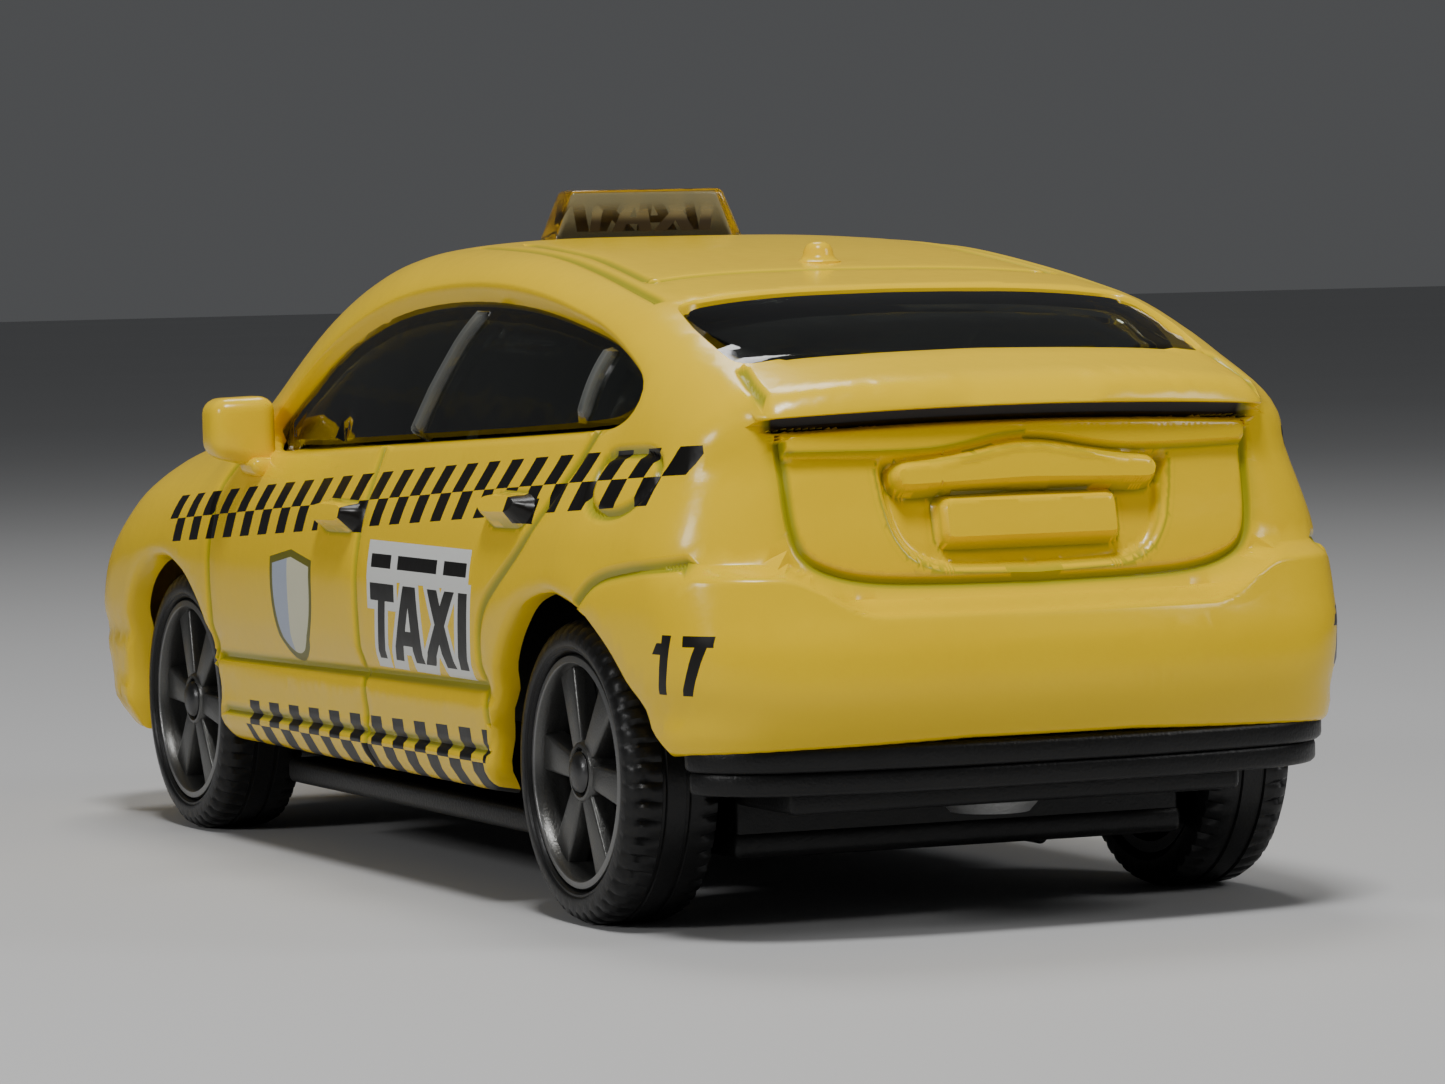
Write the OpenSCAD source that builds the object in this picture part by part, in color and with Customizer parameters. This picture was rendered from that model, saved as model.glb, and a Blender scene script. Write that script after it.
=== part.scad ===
// Small-scale diecast taxi: zinc body shell, plastic chassis, window moulding, cabin tray,
// clear roof sign and four wheels on two steel axles.
// Millimetres. +Y is the front of the car, +X its right side, +Z up, z = 0 the ground.

/* [Wheels and axles] */
// Tyre outside radius
tyre_r = 5.4; // [5.0:0.1:5.6]
// Tyre width
tyre_w = 3.6; // [3.0:0.1:3.8]
// Radius where tyre and rim meet
rim_r = 4.2; // [3.8:0.1:4.4]
// Distance from the centre plane to the outer face of a tyre
wheel_face_x = 13.1; // [12.8:0.1:13.3]
// Axle wire radius
axle_r = 0.55; // [0.45:0.05:0.6]
// Radial clearance of the axle in its bearings and in the wheels
axle_play = 0.05; // [0.03:0.01:0.08]
// Position of the front axle
front_axle_y = 20.7; // [20.2:0.1:21.2]
// Position of the rear axle
rear_axle_y = -21.8; // [-22.3:0.1:-21.3]
// Number of spokes in a rim
spokes = 6; // [5:1:7]

/* [Body shell] */
// Radius of the wheel arches
arch_r = 6.6; // [6.3:0.1:6.8]
// Height of the bumper's lower edge at the tail
tail_bottom_z = 6.8; // [6.4:0.1:7.0]
// Radius of the posts that the rivets go into
post_r = 1.7; // [1.5:0.1:1.9]
// Distance of the mirror heads from the centre plane
mirror_x = 14.5; // [14.2:0.1:14.8]

/* [Roof sign] */
// Half width of the sign at its foot
sign_foot = 4.1; // [3.6:0.1:4.6]
// Half width of the sign at its top
sign_top = 3.2; // [2.8:0.1:3.6]
// Height of the sign above the roof
sign_h = 1.9; // [1.5:0.1:2.2]
// Depth of the sign from front to back
sign_d = 1.8; // [1.6:0.1:2.2]

/* [Chassis and rivets] */
// Lower face of the chassis floor
floor_z = 2.4; // [2.2:0.1:2.6]
// Thickness of the chassis floor
floor_t = 1.0; // [0.8:0.1:1.1]
// Rivet shank radius
rivet_r = 0.9; // [0.8:0.05:1.0]
// Rivet head radius
rivet_head_r = 1.8; // [1.6:0.1:2.0]

/* [Window moulding] */
// Wall of the window moulding
glass_t = 0.7; // [0.5:0.1:0.8]
// Gap between the window moulding and the shell
glass_gap = 0.15; // [0.1:0.05:0.2]

/* [Hidden] */

$fn = 64;
ring_n = 56;
nose_square = 3.4;
far = 60;
axle_z = tyre_r;
bore_r = axle_r + axle_play;
floor_top = floor_z + floor_t;
tray_z = axle_z + bore_r;
tray_t = 0.8;
tray_x = 8.8;
flange_z = 13.0;
flange_t = 0.6;
glass_z = flange_z + flange_t + 0.1;
cowl_y = 17.8;
rivet_front_y = 28.6;
rivet_rear_y = -28.6;
rear_floor_z = 4.3;
rear_floor_top = 5.3;
shank_l = 3.2;
head_t = 0.45;
sign_y = 1.7;
roof_z = 24.2;
roof_t = 1.15;
peg = [5.0, 1.0];
peg_gap = 0.1;

// Levels of the body from sill to roof: height, nose, tail, half width, squareness of the tail
OUTER = [
    [4.0, 32.6, -32.8, 12.7, 7], [5.4, 33.8, -33.5, 13.2, 7], [7.0, 34.4, -34.2, 13.6, 7],
    [9.0, 34.5, -34.5, 13.9, 7], [11.3, 33.6, -34.0, 13.9, 7], [11.9, 32.9, -32.7, 13.8, 7],
    [13.5, 28.9, -32.4, 13.4, 7], [15.0, 24.0, -32.1, 12.9, 7], [16.4, 19.2, -31.7, 12.4, 6],
    [17.4, 17.0, -31.5, 12.0, 6], [17.9, 16.0, -32.5, 11.8, 5.5], [19.1, 13.8, -30.8, 11.4, 5],
    [20.1, 12.0, -28.1, 11.1, 5], [21.2, 9.8, -25.0, 10.7, 4], [22.2, 7.6, -21.9, 10.3, 3.6],
    [23.1, 5.2, -15.4, 9.3, 3.2], [23.7, 3.8, -10.2, 7.4, 3], [24.05, 3.0, -5.6, 4.6, 2.6],
    [24.2, 2.4, -2.0, 2.0, 2]];

// Levels of the hollow inside the shell
CAVITY = [
    [2.0, 31.2, -31.4, 11.6, 7], [5.4, 32.5, -32.3, 12.1, 7], [9.0, 33.3, -33.3, 12.8, 7],
    [10.6, 32.2, -32.0, 12.7, 7], [12.6, 28.0, -31.2, 12.3, 7], [14.1, 23.0, -30.9, 11.8, 7],
    [15.6, 18.0, -30.5, 11.3, 6], [17.2, 14.9, -30.0, 10.8, 5.5], [18.4, 12.4, -29.0, 10.3, 5],
    [19.4, 10.6, -26.8, 9.9, 5], [20.4, 8.6, -23.8, 9.6, 4], [21.3, 6.4, -20.4, 9.1, 3.6],
    [22.1, 4.2, -14.4, 8.0, 3.2], [22.7, 2.8, -9.2, 6.0, 3], [23.05, 1.8, -4.4, 3.2, 2.6]];

// Outline of the side windows, as [y, z]
SIDE_WINDOW = [
    [11.6, 16.0], [2.0, 16.4], [-13.0, 17.0], [-23.6, 17.6], [-24.8, 18.4], [-24.2, 19.4],
    [-20.6, 20.7], [-14.5, 21.8], [-8.0, 22.3], [-3.5, 22.2], [1.5, 21.4], [6.5, 19.9], [10.8, 18.0]];
// Outlines of the windscreen and the rear window seen from above, as [x, y]
WINDSCREEN = [[-9.6, 12.6], [-5.5, 15.7], [0, 16.4], [5.5, 15.7], [9.6, 12.6],
              [8.0, 4.6], [4.5, 6.4], [0, 6.9], [-4.5, 6.4], [-8.0, 4.6]];
REAR_WINDOW = [[-8.7, -20.9], [0, -22.0], [8.7, -20.9], [8.9, -27.4], [4.5, -28.0],
               [0, -28.2], [-4.5, -28.0], [-8.9, -27.4]];

function power(v, e) = sign(v) * pow(abs(v), e);
function outline(level, inset = 0) = [
    for (i = [0:ring_n - 1])
        let (a = 360 * i / ring_n)
        let (e = 2 / (sin(a) > 0 ? nose_square : level[4]))
        let (mid = (level[1] + level[2]) / 2)
        let (half = (level[1] - level[2]) / 2 - inset)
        [(level[3] - inset) * power(cos(a), e), mid + half * power(sin(a), e)]];
function between(levels, z) = let (
    k = max([for (i = [0:len(levels) - 2]) if (levels[i][0] <= z) i]),
    t = (z - levels[k][0]) / (levels[k + 1][0] - levels[k][0]))
    levels[k] + (levels[k + 1] - levels[k]) * t;

// Solid through a stack of level outlines, drawn inwards by an inset on the sides and the top
module stack(levels, inset = 0) {
    n = ring_n;
    last = (len(levels) - 1) * n;
    points = [for (level = levels, p = outline(level, inset)) [p.x, p.y, level[0] - inset]];
    walls = [for (k = [0:len(levels) - 2], i = [0:n - 1])
        let (j = (i + 1) % n, a = k * n, b = a + n)
        each [[a + i, b + i, a + j], [a + j, b + i, b + j]]];
    under = [for (i = [0:n - 1]) i];
    over = [for (i = [n - 1:-1:0]) last + i];
    polyhedron(points, concat(walls, [under, over]), convexity = 10);
}

module along_x(length) {
    rotate([0, 90, 0]) cylinder(h = length, r = bore_r, center = true);
}
module box(low, high) {
    translate(low) cube(high - low);
}
module mirrored() {
    children();
    mirror([1, 0, 0]) children();
}

module side_window_cut() {
    rotate([90, 0, 90]) linear_extrude(far) polygon(SIDE_WINDOW);
}
module arch_cut(y) {
    translate([0, y, axle_z]) rotate([0, 90, 0]) cylinder(h = far, r = arch_r, center = true);
    box([-far / 2, y - arch_r, 0], [far / 2, y + arch_r, axle_z]);
}
module mirror_head() {
    hull() {
        translate([mirror_x - 3.6, 10.9, 16.4]) sphere(r = 0.6, $fn = 20);
        translate([mirror_x - 0.7, 11.7, 17.2]) sphere(r = 0.95, $fn = 20);
        translate([mirror_x + 0.7, 11.4, 17.3]) sphere(r = 0.9, $fn = 20);
    }
}
module handle(y, z, x) {
    hull() {
        translate([x, y - 1.0, z]) scale([0.5, 1, 1]) sphere(r = 0.5, $fn = 16);
        translate([x, y + 1.0, z]) scale([0.5, 1, 1]) sphere(r = 0.5, $fn = 16);
    }
}
module post(y, low, high) {
    difference() {
        translate([0, y, low]) cylinder(h = high - low, r = post_r);
        translate([0, y, low - 1]) cylinder(h = shank_l + 1.2, r = rivet_r + 0.05);
    }
}

module body_shell() {
    color([0.98, 0.80, 0.05]) {
        difference() {
            union() {
                difference() {
                    stack(OUTER);
                    stack(CAVITY);
                    mirrored() translate([8.2, 0, 0]) side_window_cut();
                    translate([0, 0, 16.4]) linear_extrude(far) polygon(WINDSCREEN);
                    translate([0, 0, 16.4]) linear_extrude(far) polygon(REAR_WINDOW);
                    for (y = [front_axle_y, rear_axle_y]) arch_cut(y);
                    box([-far, -far, 0], [far, -29.2, tail_bottom_z]);
                    box([-peg.x / 2 - peg_gap, sign_y - peg.y / 2 - peg_gap, 21],
                        [peg.x / 2 + peg_gap, sign_y + peg.y / 2 + peg_gap, 30]);
                }
                mirrored() mirror_head();
                mirrored() handle(0.3, 14.3, 13.1);
                mirrored() handle(-17.2, 14.7, 13.0);
                translate([0, -15.0, 22.9]) cylinder(h = 1.0, r = 0.4);
                box([-3.4, -33.2, 13.5], [3.4, -32.0, 15.0]);
                box([-5.0, -33.0, 15.3], [5.0, -31.5, 16.2]);
                box([-0.8, -32.6, 8.5], [0.8, rivet_rear_y, 12.5]);
            }
        }
        post(rivet_front_y, floor_top, 13.0);
        post(rivet_rear_y, rear_floor_top, 13.0);
    }
}

module base_plate() {
    color([0.10, 0.10, 0.11]) difference() {
        union() {
            box([-11.3, -14.6, floor_z], [11.3, 13.4, floor_top]);
            box([-tray_x, -26.4, floor_z], [tray_x, 31.0, floor_top]);
            box([-tray_x, -26.4, floor_top], [tray_x, -25.4, rear_floor_top]);
            intersection() {
                translate([0, 0, rear_floor_z])
                    linear_extrude(rear_floor_top - rear_floor_z) polygon(outline(CAVITY[1], 0.3));
                union() {
                    box([-tray_x, -far, 0], [tray_x, -25.4, far]);
                    box([-far, -far, 0], [far, -29.5, far]);
                }
            }
            intersection() {
                translate([0, 0, rear_floor_top])
                    linear_extrude(tail_bottom_z - 0.05 - rear_floor_top) polygon(outline(OUTER[2], 0.15));
                box([-far, -far, 0], [far, -30.8, far]);
            }
            for (y = [front_axle_y, rear_axle_y]) mirrored()
                box([5.4, y - 1.9, floor_top - 0.1], [tray_x, y + 1.9, tray_z - 0.05]);
            box([-6.0, 26.0, 3.0], [6.0, 31.0, 4.6]);
        }
        for (y = [front_axle_y, rear_axle_y]) {
            translate([0, y, axle_z]) along_x(far);
            box([-far, y - bore_r, axle_z], [far, y + bore_r, far]);
        }
        for (y = [rivet_front_y, rivet_rear_y]) translate([0, y, 0]) cylinder(h = far, r = rivet_r + 0.05);
        translate([0, rivet_front_y, 0]) cylinder(h = floor_z + head_t + 0.05, r = rivet_head_r + 0.3);
        translate([0, rivet_front_y, floor_top]) cylinder(h = far, r = post_r + 0.1);
    }
}

module window_unit() {
    color([0.10, 0.11, 0.10, 0.5]) difference() {
        intersection() {
            stack(CAVITY, glass_gap);
            box([-far, -29.6, glass_z], [far, cowl_y, far]);
        }
        stack(CAVITY, glass_gap + glass_t);
    }
}

module cabin_slab(z, thickness, low_y, high_y) {
    intersection() {
        translate([0, 0, z]) linear_extrude(thickness)
            polygon(outline(between(CAVITY, z + thickness), 0.3));
        box([-far, low_y, 0], [far, high_y, far]);
    }
}
module seat(x, y, half, back_z) {
    box([x - half, y - 5.6, tray_z + 0.5], [x + half, y, 9.8]);
    hull() {
        box([x - half, y - 6.4, 9.0], [x + half, y - 4.6, 9.8]);
        box([x - half + 0.5, y - 7.8, back_z - 0.5], [x + half - 0.5, y - 6.6, back_z]);
    }
}
module headrest(x, y, z) {
    box([x - 1.5, y - 0.6, z - 1.6], [x + 1.5, y + 0.6, z]);
}
module steering_wheel(x) {
    translate([x, 6.6, 13.6]) rotate([65, 0, 0]) {
        rotate_extrude() translate([1.7, 0]) circle(r = 0.3, $fn = 16);
        cylinder(h = 0.4, r = 0.7, center = true);
        box([-1.6, -0.25, -0.2], [1.6, 0.25, 0.2]);
        translate([0, 0, -3.2]) cylinder(h = 3.2, r = 0.35);
    }
}
module interior_tray() {
    color([0.07, 0.07, 0.08]) {
        box([-tray_x, -26.4, tray_z], [tray_x, 24.0, tray_z + tray_t]);
        mirrored() box([8.0, -22.0, tray_z], [tray_x, 15.0, flange_z + 0.2]);
        difference() {
            cabin_slab(flange_z, flange_t, -27.0, 16.0);
            box([-8.0, -21.0, 0], [8.0, 9.0, far]);
        }
        box([-tray_x, 9.0, tray_z], [tray_x, 12.4, 14.6]);
        box([-tray_x, -22.0, tray_z], [tray_x, -21.0, flange_z + 0.2]);
        mirrored() seat(4.3, 2.0, 3.0, 16.0);
        mirrored() headrest(4.3, -5.4, 17.6);
        seat(0, -13.2, 7.8, 15.4);
        mirrored() headrest(4.6, -20.7, 16.6);
        steering_wheel(-4.3);
    }
}

module roof_sign() {
    color([0.75, 0.62, 0.25, 0.6]) {
        translate([0, sign_y + sign_d / 2, roof_z + 0.02]) rotate([90, 0, 0]) linear_extrude(sign_d)
            polygon([[-sign_foot, 0], [sign_foot, 0], [sign_top, sign_h], [-sign_top, sign_h]]);
        box([-peg.x / 2, sign_y - peg.y / 2, roof_z - roof_t], [peg.x / 2, sign_y + peg.y / 2, roof_z + 0.5]);
    }
}

module axle(y) {
    head_t = 0.35;
    span = 2 * (wheel_face_x - 0.45);
    color([0.72, 0.73, 0.75]) translate([0, y, axle_z]) rotate([0, 90, 0]) {
        cylinder(h = span, r = axle_r, center = true);
        for (side = [-1, 1]) translate([0, 0, side * (span + head_t) / 2])
            cylinder(h = head_t, r = 0.95, center = true);
    }
}

module rivet(y, head_z, post_z) {
    color([0.70, 0.71, 0.73]) {
        translate([0, y, head_z]) cylinder(h = head_t, r1 = rivet_head_r - 0.4, r2 = rivet_head_r);
        translate([0, y, head_z + 0.1]) cylinder(h = post_z + shank_l - head_z - 0.1, r = rivet_r);
    }
}

module at_wheel(side, y) {
    translate([side * wheel_face_x, y, axle_z]) rotate([0, side * 90, 0]) children();
}
module tyre(side, y) {
    edge = 0.45;
    color([0.06, 0.06, 0.06]) at_wheel(side, y) rotate_extrude($fn = 96) polygon([
        [rim_r, -tyre_w], [tyre_r - edge, -tyre_w], [tyre_r, -tyre_w + edge], [tyre_r, -edge],
        [tyre_r - edge, 0], [rim_r + 0.3, 0], [rim_r, -0.25]]);
}
module spoke_gap() {
    polygon([[1.45, -0.25], [3.3, -1.15], [3.55, -0.6], [3.62, 0], [3.55, 0.6], [3.3, 1.15], [1.45, 0.25]]);
}
module rim(side, y) {
    face = -0.35;
    color([0.22, 0.22, 0.23]) at_wheel(side, y) difference() {
        union() {
            rotate_extrude() polygon([
                [bore_r, -tyre_w + 0.2], [1.5, -tyre_w + 0.2], [1.5, -1.6], [3.7, -1.6],
                [3.7, -tyre_w + 0.2], [rim_r - 0.02, -tyre_w + 0.2], [rim_r - 0.02, face],
                [3.75, face], [3.6, face - 0.5], [1.2, face - 0.2], [1.1, -0.85], [bore_r, -0.85]]);
        }
        for (k = [0:spokes - 1]) rotate([0, 0, 360 * (k + 0.5) / spokes])
            translate([0, 0, -1.9]) linear_extrude(2.5) spoke_gap();
    }
}

body_shell();
base_plate();
window_unit();
interior_tray();
roof_sign();
axle(front_axle_y);  // axle_front
axle(rear_axle_y);  // axle_rear
rivet(rivet_front_y, floor_z + 0.03, floor_top);  // rivet_front
rivet(rivet_rear_y, rear_floor_z - head_t, rear_floor_top);  // rivet_rear
rim(-1, front_axle_y);  // rim_front_left
rim(1, front_axle_y);  // rim_front_right
rim(-1, rear_axle_y);  // rim_rear_left
rim(1, rear_axle_y);  // rim_rear_right
tyre(-1, front_axle_y);  // tyre_front_left
tyre(1, front_axle_y);  // tyre_front_right
tyre(-1, rear_axle_y);  // tyre_rear_left
tyre(1, rear_axle_y);  // tyre_rear_right
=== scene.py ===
"""Looks of a small-scale diecast taxi: enamelled shell, smoked windows, black chassis and spoked wheels.

Shapes are worked out in millimetres and written to the meshes in metres.
+Y is the front of the car, +X its right side, +Z up, and z = 0 the ground.
"""

import itertools
import math
import bpy
import numpy as np
from bpy.props import FloatProperty, FloatVectorProperty, PointerProperty
from mathutils import Matrix, Vector
from mathutils.geometry import delaunay_2d_cdt


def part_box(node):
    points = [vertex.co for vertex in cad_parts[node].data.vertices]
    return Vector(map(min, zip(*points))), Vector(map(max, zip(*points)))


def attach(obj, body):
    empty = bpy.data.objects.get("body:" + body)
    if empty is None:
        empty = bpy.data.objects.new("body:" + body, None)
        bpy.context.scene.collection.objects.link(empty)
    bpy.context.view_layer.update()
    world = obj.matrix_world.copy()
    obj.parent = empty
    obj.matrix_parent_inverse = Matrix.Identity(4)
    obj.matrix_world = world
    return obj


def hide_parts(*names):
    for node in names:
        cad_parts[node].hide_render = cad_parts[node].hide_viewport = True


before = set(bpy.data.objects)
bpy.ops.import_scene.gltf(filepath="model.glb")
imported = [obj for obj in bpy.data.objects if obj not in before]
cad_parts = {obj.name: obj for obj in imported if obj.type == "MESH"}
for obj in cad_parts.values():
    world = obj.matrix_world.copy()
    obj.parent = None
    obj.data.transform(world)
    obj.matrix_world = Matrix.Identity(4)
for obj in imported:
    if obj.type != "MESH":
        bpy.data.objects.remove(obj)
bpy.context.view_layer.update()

bl_info = {
    "name": "Diecast Taxi",
    "version": (1, 0, 0),
    "blender": (4, 5, 0),
    "location": "View3D > Sidebar > Taxi",
    "description": "Builds the looks of a small diecast taxi around its frame",
    "category": "Object",
}

MM = 0.001
HANDS = ("left", "right")
ENDS = ("front", "rear")


def box_mm(node):
    """Lowest and highest corner of a frame node in millimetres."""
    low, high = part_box(node)
    return np.array(low) / MM, np.array(high) / MM


def colour(name, about, value):
    """A colour setting."""
    return FloatVectorProperty(name=name, description=about, subtype="COLOR", size=4, min=0.0, max=1.0,
                               default=value)


def size(name, about, value):
    """A length setting, from a value in millimetres."""
    return FloatProperty(name=name, description=about, subtype="DISTANCE", unit="LENGTH",
                         min=0.0, precision=5, default=value * MM)


class ShellSettings(bpy.types.PropertyGroup):
    """Sizes and colours of the cast shell and its prints."""
    enamel: colour("Enamel", "Colour of the body's paint", (0.96, 0.64, 0.0, 1))
    print_black: colour("Print", "Colour of the checks and letters", (0.006, 0.005, 0.004, 1))
    plate_white: colour("Plate", "Colour of the door plate", (0.78, 0.79, 0.76, 1))
    wall: size("Wall", "Thickness of the casting", 0.9)
    facet: size("Facet", "Spacing of the points on the open surface", 0.46)
    groove: size("Groove", "Depth of the panel lines", 0.2)


class WheelSettings(bpy.types.PropertyGroup):
    """Sizes and colours of rims and tyres."""
    rim: colour("Rim", "Colour of the rims", (0.10, 0.10, 0.097, 1))
    tyre: colour("Tyre", "Colour of the tyres", (0.005, 0.005, 0.005, 1))
    notch: size("Notch", "Depth of the notches on a tyre's shoulder", 0.16)
    lip: size("Lip", "Width of a rim's outer ring", 0.34)


class TrimSettings(bpy.types.PropertyGroup):
    """Colours of the plastic and bare metal pieces."""
    glass: colour("Glass", "Tint of the windows", (0.16, 0.18, 0.15, 1))
    chassis: colour("Chassis", "Colour of the chassis", (0.006, 0.006, 0.006, 1))
    cabin: colour("Cabin", "Colour of the cabin tray", (0.020, 0.020, 0.022, 1))
    sign: colour("Sign", "Tint of the clear roof sign", (0.50, 0.43, 0.22, 1))
    metal: colour("Metal", "Colour of axles and rivets", (0.62, 0.62, 0.62, 1))


# ---------------------------------------------------------------- curves and surfaces

class Line:
    """A smooth line through a few points, straight beyond its ends."""

    def __init__(self, *points):
        self.at, self.to = np.array(sorted(points), float).T
        rise = np.diff(self.to) / np.diff(self.at)
        both = rise[:-1] * rise[1:]
        mean = 2 * both / np.where(both > 0, rise[:-1] + rise[1:], 1)
        self.slope = np.concatenate([rise[:1], np.where(both > 0, mean, 0), rise[-1:]])

    def __call__(self, v):
        v = np.asarray(v, float)
        k = np.clip(np.searchsorted(self.at, v) - 1, 0, len(self.at) - 2)
        w = self.at[k + 1] - self.at[k]
        t = (v - self.at[k]) / w
        s = np.clip(t, 0, 1)
        a, b, p, q = self.to[k], self.to[k + 1], self.slope[k] * w, self.slope[k + 1] * w
        h = a + s * p + s**2 * (3 * (b - a) - 2 * p - q) + s**3 * (2 * (a - b) + p + q)
        return h + np.where(t < 0, t * p, 0) + np.where(t > 1, (t - 1) * q, 0)


def ease(v, low, high):
    """0 at low and 1 at high with a smooth ramp between; low may be the larger."""
    t = np.clip((v - low) / (high - low), 0, 1)
    return t * t * (3 - 2 * t)


def soft_max(a, b, blend):
    """The larger of two fields, with the corner between them rounded."""
    h = np.maximum(blend - np.abs(a - b), 0)
    return np.maximum(a, b) + h * h / (4 * blend)


# Half width of the car over height, with the crease above the sill
SECTION = Line((3.5, 12.7), (4.2, 13.1), (5.2, 13.6), (6.2, 13.5), (7.3, 13.62), (7.9, 13.5), (9.0, 13.8),
               (11.3, 13.9), (13.5, 13.6), (15.0, 13.1), (16.4, 12.55), (17.7, 12.2), (19.3, 11.8),
               (21.0, 11.35), (22.4, 10.95), (24.5, 10.3))
# Share of that half width along the car, below and above the waist
PLAN_LOW = Line((-35, 0.90), (-31, 0.93), (-27, 0.97), (-22, 1.0), (20, 1.0), (28, 0.995), (35, 0.97))
PLAN_HIGH = Line((-35, 0.92), (-30, 0.94), (-24, 0.97), (-12, 1.0), (-2, 1.0), (6, 0.985), (12, 0.96),
                 (20, 0.92))
# Height of the centre line over length, from the nose to the spoiler
ROOF = Line((36, 9.5), (34.2, 11.6), (33.2, 12.9), (31.5, 14.1), (29.0, 15.1), (25.3, 16.1), (21.0, 17.0),
            (17.8, 17.9), (15.0, 19.5), (12.0, 21.1), (9.0, 22.5), (6.5, 23.35), (4.0, 23.9), (1.0, 24.2),
            (-1.5, 24.25), (-5.0, 24.15), (-10.0, 23.78), (-15.05, 23.2), (-19.0, 22.65), (-22.05, 22.15),
            (-25.0, 21.28), (-28.1, 20.18), (-30.4, 19.52), (-31.6, 19.2), (-32.4, 18.9), (-34.0, 18.1))
# Fall of the top towards its edges
CROWN = Line((36, 0.6), (30, 0.5), (25, 0.4), (20, 0.5), (14, 0.8), (0, 0.8), (-5, 0.6), (-10, 0.35),
             (-22, 0.5), (-28, 0.6), (-31, 0.9), (-34, 1.1))
# Rearmost and foremost lines over height
BUMPER = Line((5.0, -33.2), (6.8, -33.9), (8.85, -34.4), (10.2, -34.35), (11.0, -34.1), (14.0, -33.4))
GATE = Line((10.0, -32.9), (11.9, -32.6), (13.5, -32.4), (15.0, -32.1), (16.4, -31.85), (17.4, -31.65),
            (20, -31.1))
NOSE = Line((3.4, 31.6), (4.4, 32.9), (6.6, 34.2), (8.2, 34.5), (10.5, 33.6), (12.2, 32.2), (15, 29.5))
SPOILER_LIP = -32.6
LIP_LEVEL = 18.0


def side_field(x, y, z):
    """Distance out from the car's sides."""
    plan = PLAN_LOW(y) + (PLAN_HIGH(y) - PLAN_LOW(y)) * ease(z, 13.5, 19)
    return np.abs(x) - SECTION(z) * plan


def top_field(x, y, z):
    """Distance up from the roof and hood."""
    return (z - ROOF(y) + CROWN(y) * np.abs(x / 10)**4) * 0.9


def nose_field(x, y, z):
    """Distance forward from the nose."""
    return y - NOSE(z) + 0.5 * (x / 10)**2 + 0.5 * (x / 10)**4


def shelf_height(x):
    """Height of the bumper's upper edge across the tail."""
    return 11.55 + 1.35 * ease(np.abs(x), 6.3, 9.8)


def lip_height(x):
    """Height of the lower edge of the spoiler's lip, bowed a little."""
    return LIP_LEVEL + 0.12 - 0.2 * np.minimum(np.abs(x / 8), 1.2)**2


def tail_field(x, y, z):
    """Distance back from the gate, the bumper below it and the spoiler's lip above it."""
    bow = 0.9 * np.abs(x / 10)**2.5
    gate = GATE(z) + bow
    low = ease(z, shelf_height(x) + 0.25, shelf_height(x) - 0.45)
    back = gate + (BUMPER(z) + bow * 1.2 - gate) * low
    over = ease(z - lip_height(x), -0.12, 0.12) * (1 - ease(np.abs(x), 9.3, 10.3))
    back = back + (np.minimum(SPOILER_LIP + bow * 1.25, back) - back) * over
    return back - y


def body_field(x, y, z):
    """Below 0 inside the shell's smooth outer skin, above 0 outside it, and near to the distance."""
    shoulder = 2.2 + 0.8 * ease(y, 10, 22)
    field = soft_max(side_field(x, y, z), top_field(x, y, z), shoulder)
    field = soft_max(field, nose_field(x, y, z), 3.0)
    return soft_max(field, tail_field(x, y, z), 1.0 + 1.8 * ease(z, LIP_LEVEL, LIP_LEVEL - 2.1))


def cast(start, way, level=0.0):
    """Points where rays that start inside the body cross a level of its field."""
    near = np.zeros(len(start))
    far = np.full(len(start), 45.0)
    for _ in range(24):
        middle = (near + far) / 2
        outside = body_field(*(start + way * middle[:, None]).T) > level
        far = np.where(outside, middle, far)
        near = np.where(outside, near, middle)
    return start + way * near[:, None]


def outward(points):
    """Unit normals of the body's field."""
    step = 0.01
    slopes = []
    for axis in np.eye(3) * step:
        slopes.append(body_field(*(points + axis).T) - body_field(*(points - axis).T))
    normals = np.array(slopes).T
    return normals / np.linalg.norm(normals, axis=1)[:, None]


# ---------------------------------------------------------------- the body laid out flat

# The pattern is flat over a core strip of the roof and hood, rolls over the edge and hangs down
CORE = np.array([3.0, 23.0])
CORE_MIDDLE = np.array([0.0, 0.5])
FLAT = 5.0
ROLL = 5.7
HUB = Line((-22.5, 18.3), (-5, 18.5), (5, 18), (12, 14.5), (23.5, 9.5))
QUARTER = math.pi / 2
FLOOR_OF_RAYS = 8.0
TAIL_OF_CORE = CORE_MIDDLE[1] - CORE[1]


def from_core(flat):
    """Nearest point of the core, direction away from it and distance."""
    centred = flat - CORE_MIDDLE
    core = np.clip(centred, -CORE, CORE)
    away = centred - core
    gap = np.linalg.norm(away, axis=1)
    direction = away / np.maximum(gap, 1e-9)[:, None]
    return core + CORE_MIDDLE, direction, gap


def unfold(points):
    """Places in the flat pattern of points on the body."""
    core, direction, gap = from_core(points[:, :2])
    height = points[:, 2] - HUB(core[:, 1])
    rolled = ROLL * np.arctan2(gap - FLAT, np.maximum(height, 1e-9))
    along = np.where(height > 0, rolled, ROLL * QUARTER - height)
    return np.where((gap > FLAT)[:, None], core + direction * (FLAT + along)[:, None], points[:, :2])


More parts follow.
